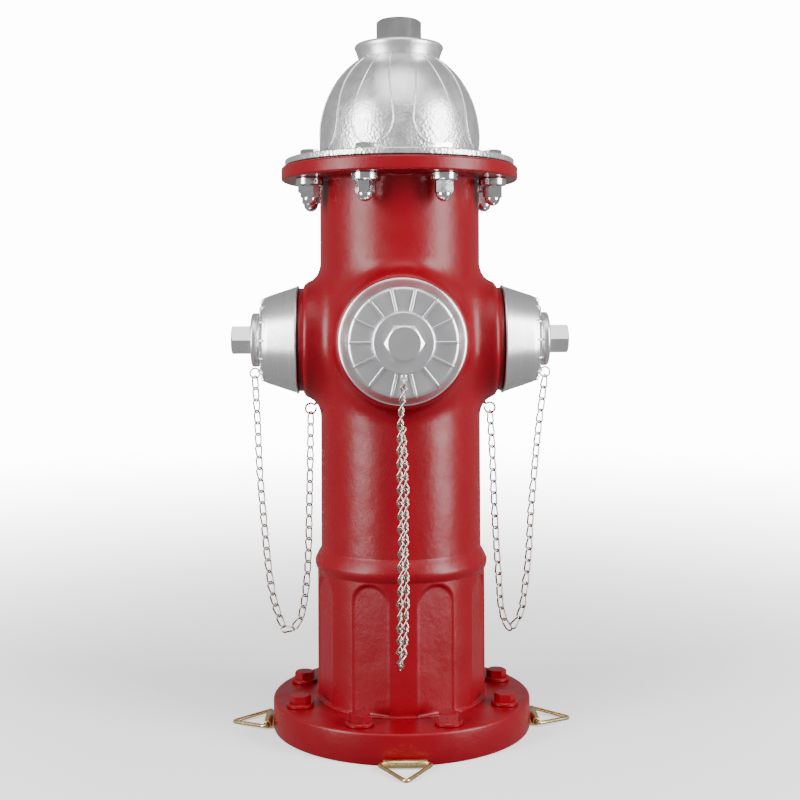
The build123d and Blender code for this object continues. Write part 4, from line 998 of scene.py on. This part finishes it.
# ------------------------------------------------------------------ chains
ROUTES = {
    "left": [(152.5, 344.8, 0.6), (151.2, 320.5, 0.9), (149.4, 271.7, -0.4), (145.9, 224.0, -0.8),
             (141.7, 178.4, 0.5), (135.2, 132.8, 1.2), (129.4, 112.7, 0.8), (120.0, 98.9, 0.0),
             (109.7, 105.7, -0.6), (104.8, 118.0, -0.8), (100.2, 148.7, -0.2), (97.2, 216.6, 0.8),
             (96.0, 265.3, 0.5)],
    "right": [(151.0, 345.0, -0.5), (147.0, 315.0, -0.8), (143.4, 280.0, 0.3), (140.9, 251.0, 0.9),
              (138.3, 222.0, 0.6), (135.6, 178.0, -0.4), (129.8, 129.0, -0.9), (123.6, 107.5, -0.6),
              (115.3, 98.9, 0.2), (108.6, 110.0, 0.7), (104.6, 137.0, 0.6), (100.7, 197.5, -0.5),
              (98.3, 254.7, -0.7), (96.6, 301.4, 0.0)],
    "front": [(152.4, 342.0, -2.6), (151.2, 305.0, -4.2), (148.9, 260.0, -4.0), (145.4, 212.0, -3.4),
              (140.4, 163.0, -4.4), (134.0, 120.0, -5.0), (127.2, 99.5, -4.8), (118.3, 90.6, -3.6),
              (109.6, 98.0, -0.8), (105.0, 117.0, 1.4), (101.2, 155.0, 2.8), (98.4, 205.0, 2.2),
              (96.6, 255.0, 2.9), (95.4, 296.0, 1.6)],
}
LINK_WIRE, LINK_WIDTH, LINK_INNER, LINK_PLAY = 0.9, 8.8, 12.6, 0.25
END_RING_R, END_RING_OUT, END_RING_DROP, EYE_RING_R = 5.15, 4.3, 2.8, 5.5


def smooth_path(knots, per_span=24):
    """Natural cubic through the knots, spaced by chord length."""
    p = np.asarray(knots, float)
    t = np.concatenate([[0], np.cumsum(np.linalg.norm(np.diff(p, axis=0), axis=1))])
    n = len(p)
    h = np.diff(t)
    a = np.zeros((n, n))
    b = np.zeros((n, 3))
    a[0, 0] = a[-1, -1] = 1
    for i in range(1, n - 1):
        a[i, i - 1], a[i, i], a[i, i + 1] = h[i - 1], 2 * (h[i - 1] + h[i]), h[i]
        b[i] = 6 * ((p[i + 1] - p[i]) / h[i] - (p[i] - p[i - 1]) / h[i - 1])
    m = np.linalg.solve(a, b)
    out = []
    for i in range(n - 1):
        for s in np.arange(per_span) / per_span:
            x = s * h[i]
            w = h[i] - x
            out.append(m[i] * w ** 3 / (6 * h[i]) + m[i + 1] * x ** 3 / (6 * h[i])
                       + (p[i] / h[i] - m[i] * h[i] / 6) * w + (p[i + 1] / h[i] - m[i + 1] * h[i] / 6) * x)
    out.append(p[-1])
    return np.array(out)


def chain_tree():
    """Twisted links set along a curve, all turned alike with a little slack."""
    t = Tree("chain_links", {
        "Route": ("Object", None), "Link": ("Object", None), "Links": ("Int", 42),
        "Sideways": ("Vector", None), "Wobble": ("Float", 0.05), "Seed": ("Int", 2),
        "Finish": ("Material", None),
    })
    points = t.add("GeometryNodePoints", [("Count", t.given["Links"])])
    index = t.add("GeometryNodeInputIndex").outputs[0]
    share = t.maths("DIVIDE", t.maths("ADD", index, 0.5), t.given["Links"])
    sample = t.add("GeometryNodeSampleCurve", [("Curves", t.shape("Route")), ("Factor", share)], mode="FACTOR")
    place = t.add("GeometryNodeSetPosition", [("Geometry", points.outputs[0]),
                                              ("Position", sample.outputs["Position"])])
    along = sample.outputs["Tangent"]
    across = t.vectors("NORMALIZE", t.vectors("CROSS_PRODUCT", along, t.given["Sideways"]))
    flat = t.vectors("CROSS_PRODUCT", across, along)
    wobble = t.maths("MULTIPLY", t.chance(), t.given["Wobble"])
    slack = t.add("ShaderNodeVectorMath", [(0, across), ("Scale", wobble)], operation="SCALE")
    normal = t.vectors("ADD", flat, slack.outputs["Vector"])
    aim = t.add("FunctionNodeAxesToRotation", [(0, along), (1, normal)], primary_axis="X", secondary_axis="Z")
    return t.finish(t.copies(place.outputs[0], t.shape("Link"), aim.outputs[0]))


CHAIN = chain_tree()


def link_part(count=40, around=10):
    """One oval link along X, twisted a quarter turn from end to end so that it lies flat in the chain."""
    offset = LINK_WIDTH / 2 - LINK_WIRE
    straight = LINK_INNER / 2 + LINK_WIRE - LINK_WIDTH / 2 + LINK_WIRE
    points = []
    for k in range(count // 2):
        a = pi / 2 - pi * k / (count // 2)
        points.append((straight + offset * cos(a), offset * sin(a), 0.0))
    for k in range(count // 2):
        a = -pi / 2 - pi * k / (count // 2)
        points.append((-straight + offset * cos(a), offset * sin(a), 0.0))
    twisted = []
    for x, y, z in points:
        turn = pi / 4 * max(-1.0, min(1.0, x / (straight + 0.3 * offset)))
        twisted.append((x, y * cos(turn), y * sin(turn)))
    return tube_along(twisted, LINK_WIRE, closed=True, count=around)


def join_objects(name, objects, material):
    """One mesh object from several, in place."""
    parts = []
    for o in objects:
        me = o.data
        v = np.zeros(len(me.vertices) * 3, np.float32)
        me.vertices.foreach_get("co", v)
        parts.append((v.reshape(-1, 3) / MM, [tuple(p.vertices) for p in me.polygons]))
        bpy.data.objects.remove(o)
    verts, faces = join_parts(parts)
    return build(name, verts, faces, material)


def chain(name, side):
    """Chain from the cap's loop, down and back up to the screw eye, with the small ring at its start."""
    out = Vector(side["out"])
    sideways = Vector((0, 0, 1)).cross(out)
    hole = out * (cap_face + tab_lift + lug_reach) + Vector((0, 0, outlet_z - side["disc"] - lug_below_disc))
    ring_centre = hole + out * END_RING_OUT - Vector((0, 0, END_RING_DROP))
    contact = LINK_WIRE + LINK_PLAY / 2
    start = ring_centre - Vector((0, 0, END_RING_R - contact))
    end = eye_centre(side) - Vector((0, 0, EYE_RING_R - contact))
    knots = [start] + [out * o + sideways * s + Vector((0, 0, up)) for o, up, s in ROUTES[name]] + [end]
    path = smooth_path([tuple(k) for k in knots])
    length = float(np.sum(np.linalg.norm(np.diff(path, axis=0), axis=1)))
    links = int(length / (LINK_INNER - LINK_PLAY)) + 1
    curve = bpy.data.curves.new(name + "_route", "CURVE")
    curve.dimensions = "3D"
    spline = curve.splines.new("POLY")
    spline.points.add(len(path) - 1)
    for point, place in zip(spline.points, path):
        point.co = (*(place * MM), 1.0)
    holder = bpy.data.objects.new(name + "_route", curve)
    bpy.context.scene.collection.objects.link(holder)
    source = build(name + "_link_one", *link_part(), M["nickel"])
    obj = run_tree(CHAIN, name + "_links", {"Route": holder, "Link": source, "Links": links,
                                            "Sideways": tuple(sideways), "Finish": M["nickel"], "Wobble": 0.22})
    for extra in (holder, source):
        bpy.data.objects.remove(extra)
    ring = [ring_centre + out * (END_RING_R * cos(a)) + Vector((0, 0, END_RING_R * sin(a)))
            for a in np.arange(40) * 2 * pi / 40]
    verts, faces = tube_along([tuple(p) for p in ring], LINK_WIRE, closed=True, count=12)
    ring_mesh = build(name + "_end_ring", verts, faces, M["nickel"])
    merged = join_objects(name + "_cap_chain", [obj, ring_mesh], M["nickel"])
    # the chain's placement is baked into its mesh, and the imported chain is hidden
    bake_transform(merged)
    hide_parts(name + "_chain")


# ------------------------------------------------------------------ tie rings and their rolled straps
def strap_piece(name, turn):
    """A strip of brass rolled once round the ring's wire and screwed up into the base."""
    mid = sleeve_r - strap_t / 2
    section = [(strap_inner_r, strap_gap + strap_t / 2)]
    section += [(x, strap_gap + strap_t / 2) for x in np.linspace(118.0, sleeve_out - 3.0, 5)]
    for t in np.linspace(-pi / 2, pi * 1.22, 44):
        section.append((sleeve_out + mid * cos(t), sleeve_z + mid * sin(t)))
    half = strap_length / 2
    p = np.array(section)
    tangent = np.gradient(p, axis=0)
    tangent /= np.linalg.norm(tangent, axis=1)[:, None]
    normal = np.stack([-tangent[:, 1], tangent[:, 0]], 1)
    rows = []
    widths = [(-half, 0.55), (-half + 0.4, 0.8), (half - 0.4, 0.8), (half, 0.55)]
    for place, lean in zip(p, normal):
        upper = [(*(place + lean * t), y) for y, t in widths]
        lower = [(*(place - lean * t), y) for y, t in reversed(widths)]
        rows.append(np.array(upper + lower)[:, [0, 2, 1]])
    verts, faces = skin(rows)
    m = len(rows[0])
    faces.append(tuple(reversed(range(m))))
    faces.append(tuple((len(p) - 1) * m + i for i in range(m)))
    obj = build(name + "_rolled_strap", *spin((verts, faces), turn), M["brass"])
    ready(obj, "root", "pale_brass", name + "_ring_strap")


def tie_ring_piece(name, turn):
    """Triangle of wire with rounded corners, resting almost on the ground."""
    width, reach, bend, wire = 54.0, 38.2, 2.8, 1.9
    corners = [np.array(c, float) for c in ((0, width / 2), (reach, 0), (0, -width / 2))]
    points = []
    for i, c in enumerate(corners):
        a = corners[i - 1] - c
        b = corners[(i + 1) % 3] - c
        a /= np.linalg.norm(a)
        b /= np.linalg.norm(b)
        half = np.arccos(np.clip(a @ b, -1, 1)) / 2
        back = bend / np.tan(half)
        centre = c + (a + b) / np.linalg.norm(a + b) * bend / sin(half)
        first, last = c + a * back - centre, c + b * back - centre
        t0 = np.arctan2(first[1], first[0])
        t1 = np.arctan2(last[1], last[0])
        sweep = (t1 - t0 + pi) % (2 * pi) - pi
        for s in np.linspace(0, 1, 9):
            t = t0 + sweep * s
            points.append((centre[0] + bend * cos(t), centre[1] + bend * sin(t)))
        nxt = corners[(i + 1) % 3]
        here = c + b * back
        beyond = corners[(i + 2) % 3] - nxt
        angle = np.arccos(np.clip(-b @ beyond / np.linalg.norm(beyond), -1, 1))
        there = nxt - b * bend / np.tan(angle / 2)
        for s in (0.25, 0.5, 0.75):
            points.append(tuple(here + (there - here) * s))
    drop = (sleeve_z - wire - 0.1) / reach
    path = [(sleeve_out + x * cos(drop), y, sleeve_z - x * sin(drop)) for x, y in points]
    obj = build(name + "_tie_wire", *spin(tube_along(path, wire, closed=True, count=16), turn), M["brass"])
    ready(obj, name + "_tie_ring", "pale_brass", name + "_tie_ring")


# ------------------------------------------------------------------ put it together
base_plate()
pedestal_casting()
wandering_bead("pedestal_weld", pedestal_r - 0.3, base_t + 0.3, 1.7, 4)
barrel_casting()
barrel_flange()
wandering_bead("flange_weld", barrel_r - 0.3, flange_low - 0.2, 1.3, 9)
bonnet_casting()
petal_ridges()
collar()
operating_nut()
fasteners()
for label, spec in SIDES.items():
    cap_pieces(label, spec)
    nozzle_pieces(label, spec)
    loop_pieces(label, spec)
    eye_screw(label, spec)
    chain(label, spec)
for label, azimuth in (("right", 0), ("rear", 90), ("left", 180), ("front", 270)):
    strap_piece(label, azimuth)
    tie_ring_piece(label, azimuth)

HIDDEN = {
    "rubber": ("bonnet_gasket", "left_cap_gasket", "right_cap_gasket", "front_cap_gasket", "dust_seal",
               "o_rings", "valve_rubber"),
    "steel": ("stem", "strap_screws", "valve_nut"),
    "bronze": ("seat_ring", "upper_thrust_washer", "lower_thrust_washer"),
    "iron": ("stem_guide", "valve_upper_plate", "valve_lower_plate"),
}
for key, names in HIDDEN.items():
    for node in names:
        if node in nodes:
            for held in nodes[node].material_slots:
                held.material = M[key]

# ------------------------------------------------------------------ floor, light and camera
floor_mat = bpy.data.materials.new("pale_floor")
floor_mat.use_nodes = True
floor_bsdf = floor_mat.node_tree.nodes["Principled BSDF"]
floor_bsdf.inputs["Base Color"].default_value = (0.88, 0.88, 0.88, 1.0)
floor_bsdf.inputs["Roughness"].default_value = 0.8
# the floor brightens with distance from the hydrant, so that it runs out into white
floor_nodes, floor_links = floor_mat.node_tree.nodes, floor_mat.node_tree.links
where = floor_nodes.new("ShaderNodeTexCoord")
reach = floor_nodes.new("ShaderNodeVectorMath")
reach.operation = "LENGTH"
fade = floor_nodes.new("ShaderNodeMapRange")
fade.interpolation_type = "SMOOTHSTEP"
for socket, value in (("From Min", 0.25), ("From Max", 3.2), ("To Min", 0.6), ("To Max", 14.0)):
    fade.inputs[socket].default_value = value
floor_links.new(where.outputs["Object"], reach.inputs[0])
floor_links.new(reach.outputs["Value"], fade.inputs["Value"])
floor_bsdf.inputs["Emission Color"].default_value = (1.0, 1.0, 1.0, 1.0)
floor_links.new(fade.outputs["Result"], floor_bsdf.inputs["Emission Strength"])
bpy.ops.mesh.primitive_plane_add(size=60.0, location=(0, 0, 0))
floor = bpy.context.object
floor.name = "studio_floor"
floor.data.materials.append(floor_mat)
# the glowing floor is only a backdrop: it throws no light back on the hydrant
floor.visible_diffuse = False
floor.visible_glossy = False

world = bpy.context.scene.world or bpy.data.worlds.new("studio")
bpy.context.scene.world = world
world.use_nodes = True
# the backdrop is white to the camera, and dim where it lights the hydrant or shows in its metal
sky_nodes, sky_links = world.node_tree.nodes, world.node_tree.links
background = sky_nodes["Background"]
background.inputs["Color"].default_value = (1.0, 1.0, 1.0, 1.0)
rays = sky_nodes.new("ShaderNodeLightPath")
mirrored = sky_nodes.new("ShaderNodeMapRange")
mirrored.inputs["To Min"].default_value = 0.17
mirrored.inputs["To Max"].default_value = 0.36
brightness = sky_nodes.new("ShaderNodeMapRange")
brightness.inputs["To Max"].default_value = 14.0
sky_links.new(rays.outputs["Is Glossy Ray"], mirrored.inputs["Value"])
sky_links.new(mirrored.outputs["Result"], brightness.inputs["To Min"])
sky_links.new(rays.outputs["Is Camera Ray"], brightness.inputs["Value"])
sky_links.new(brightness.outputs["Result"], background.inputs["Strength"])


def softbox(name, place, target, width, height, power):
    """Rectangular lamp aimed at a point; metres and watts."""
    data = bpy.data.lights.new(name, "AREA")
    data.shape = "RECTANGLE"
    data.size, data.size_y = width, height
    data.energy = power
    obj = bpy.data.objects.new(name, data)
    bpy.context.scene.collection.objects.link(obj)
    obj.location = place
    obj.rotation_euler = (Vector(target) - Vector(place)).to_track_quat("-Z", "Y").to_euler()


softbox("left_softbox", (-1.5, -1.0, 0.7), (0, 0, 0.38), 0.8, 1.8, 66.0)
softbox("right_softbox", (1.5, -0.9, 0.7), (0, 0, 0.38), 0.8, 1.8, 74.0)
softbox("top_softbox", (0.0, -0.8, 2.0), (0, 0, 0.40), 1.4, 1.2, 16.0)

turned = radians(1.3)
distance = 1.35
camera_data = bpy.data.cameras.new("camera")
camera_data.sensor_width = 36.0
camera_data.lens = 57.3
camera_data.shift_y = -0.1125
camera = bpy.data.objects.new("camera", camera_data)
camera.location = (-distance * sin(turned), -distance * cos(turned), 0.436)
camera.rotation_euler = (pi / 2, radians(0.25), -turned)
bpy.context.scene.collection.objects.link(camera)
bpy.context.scene.camera = camera
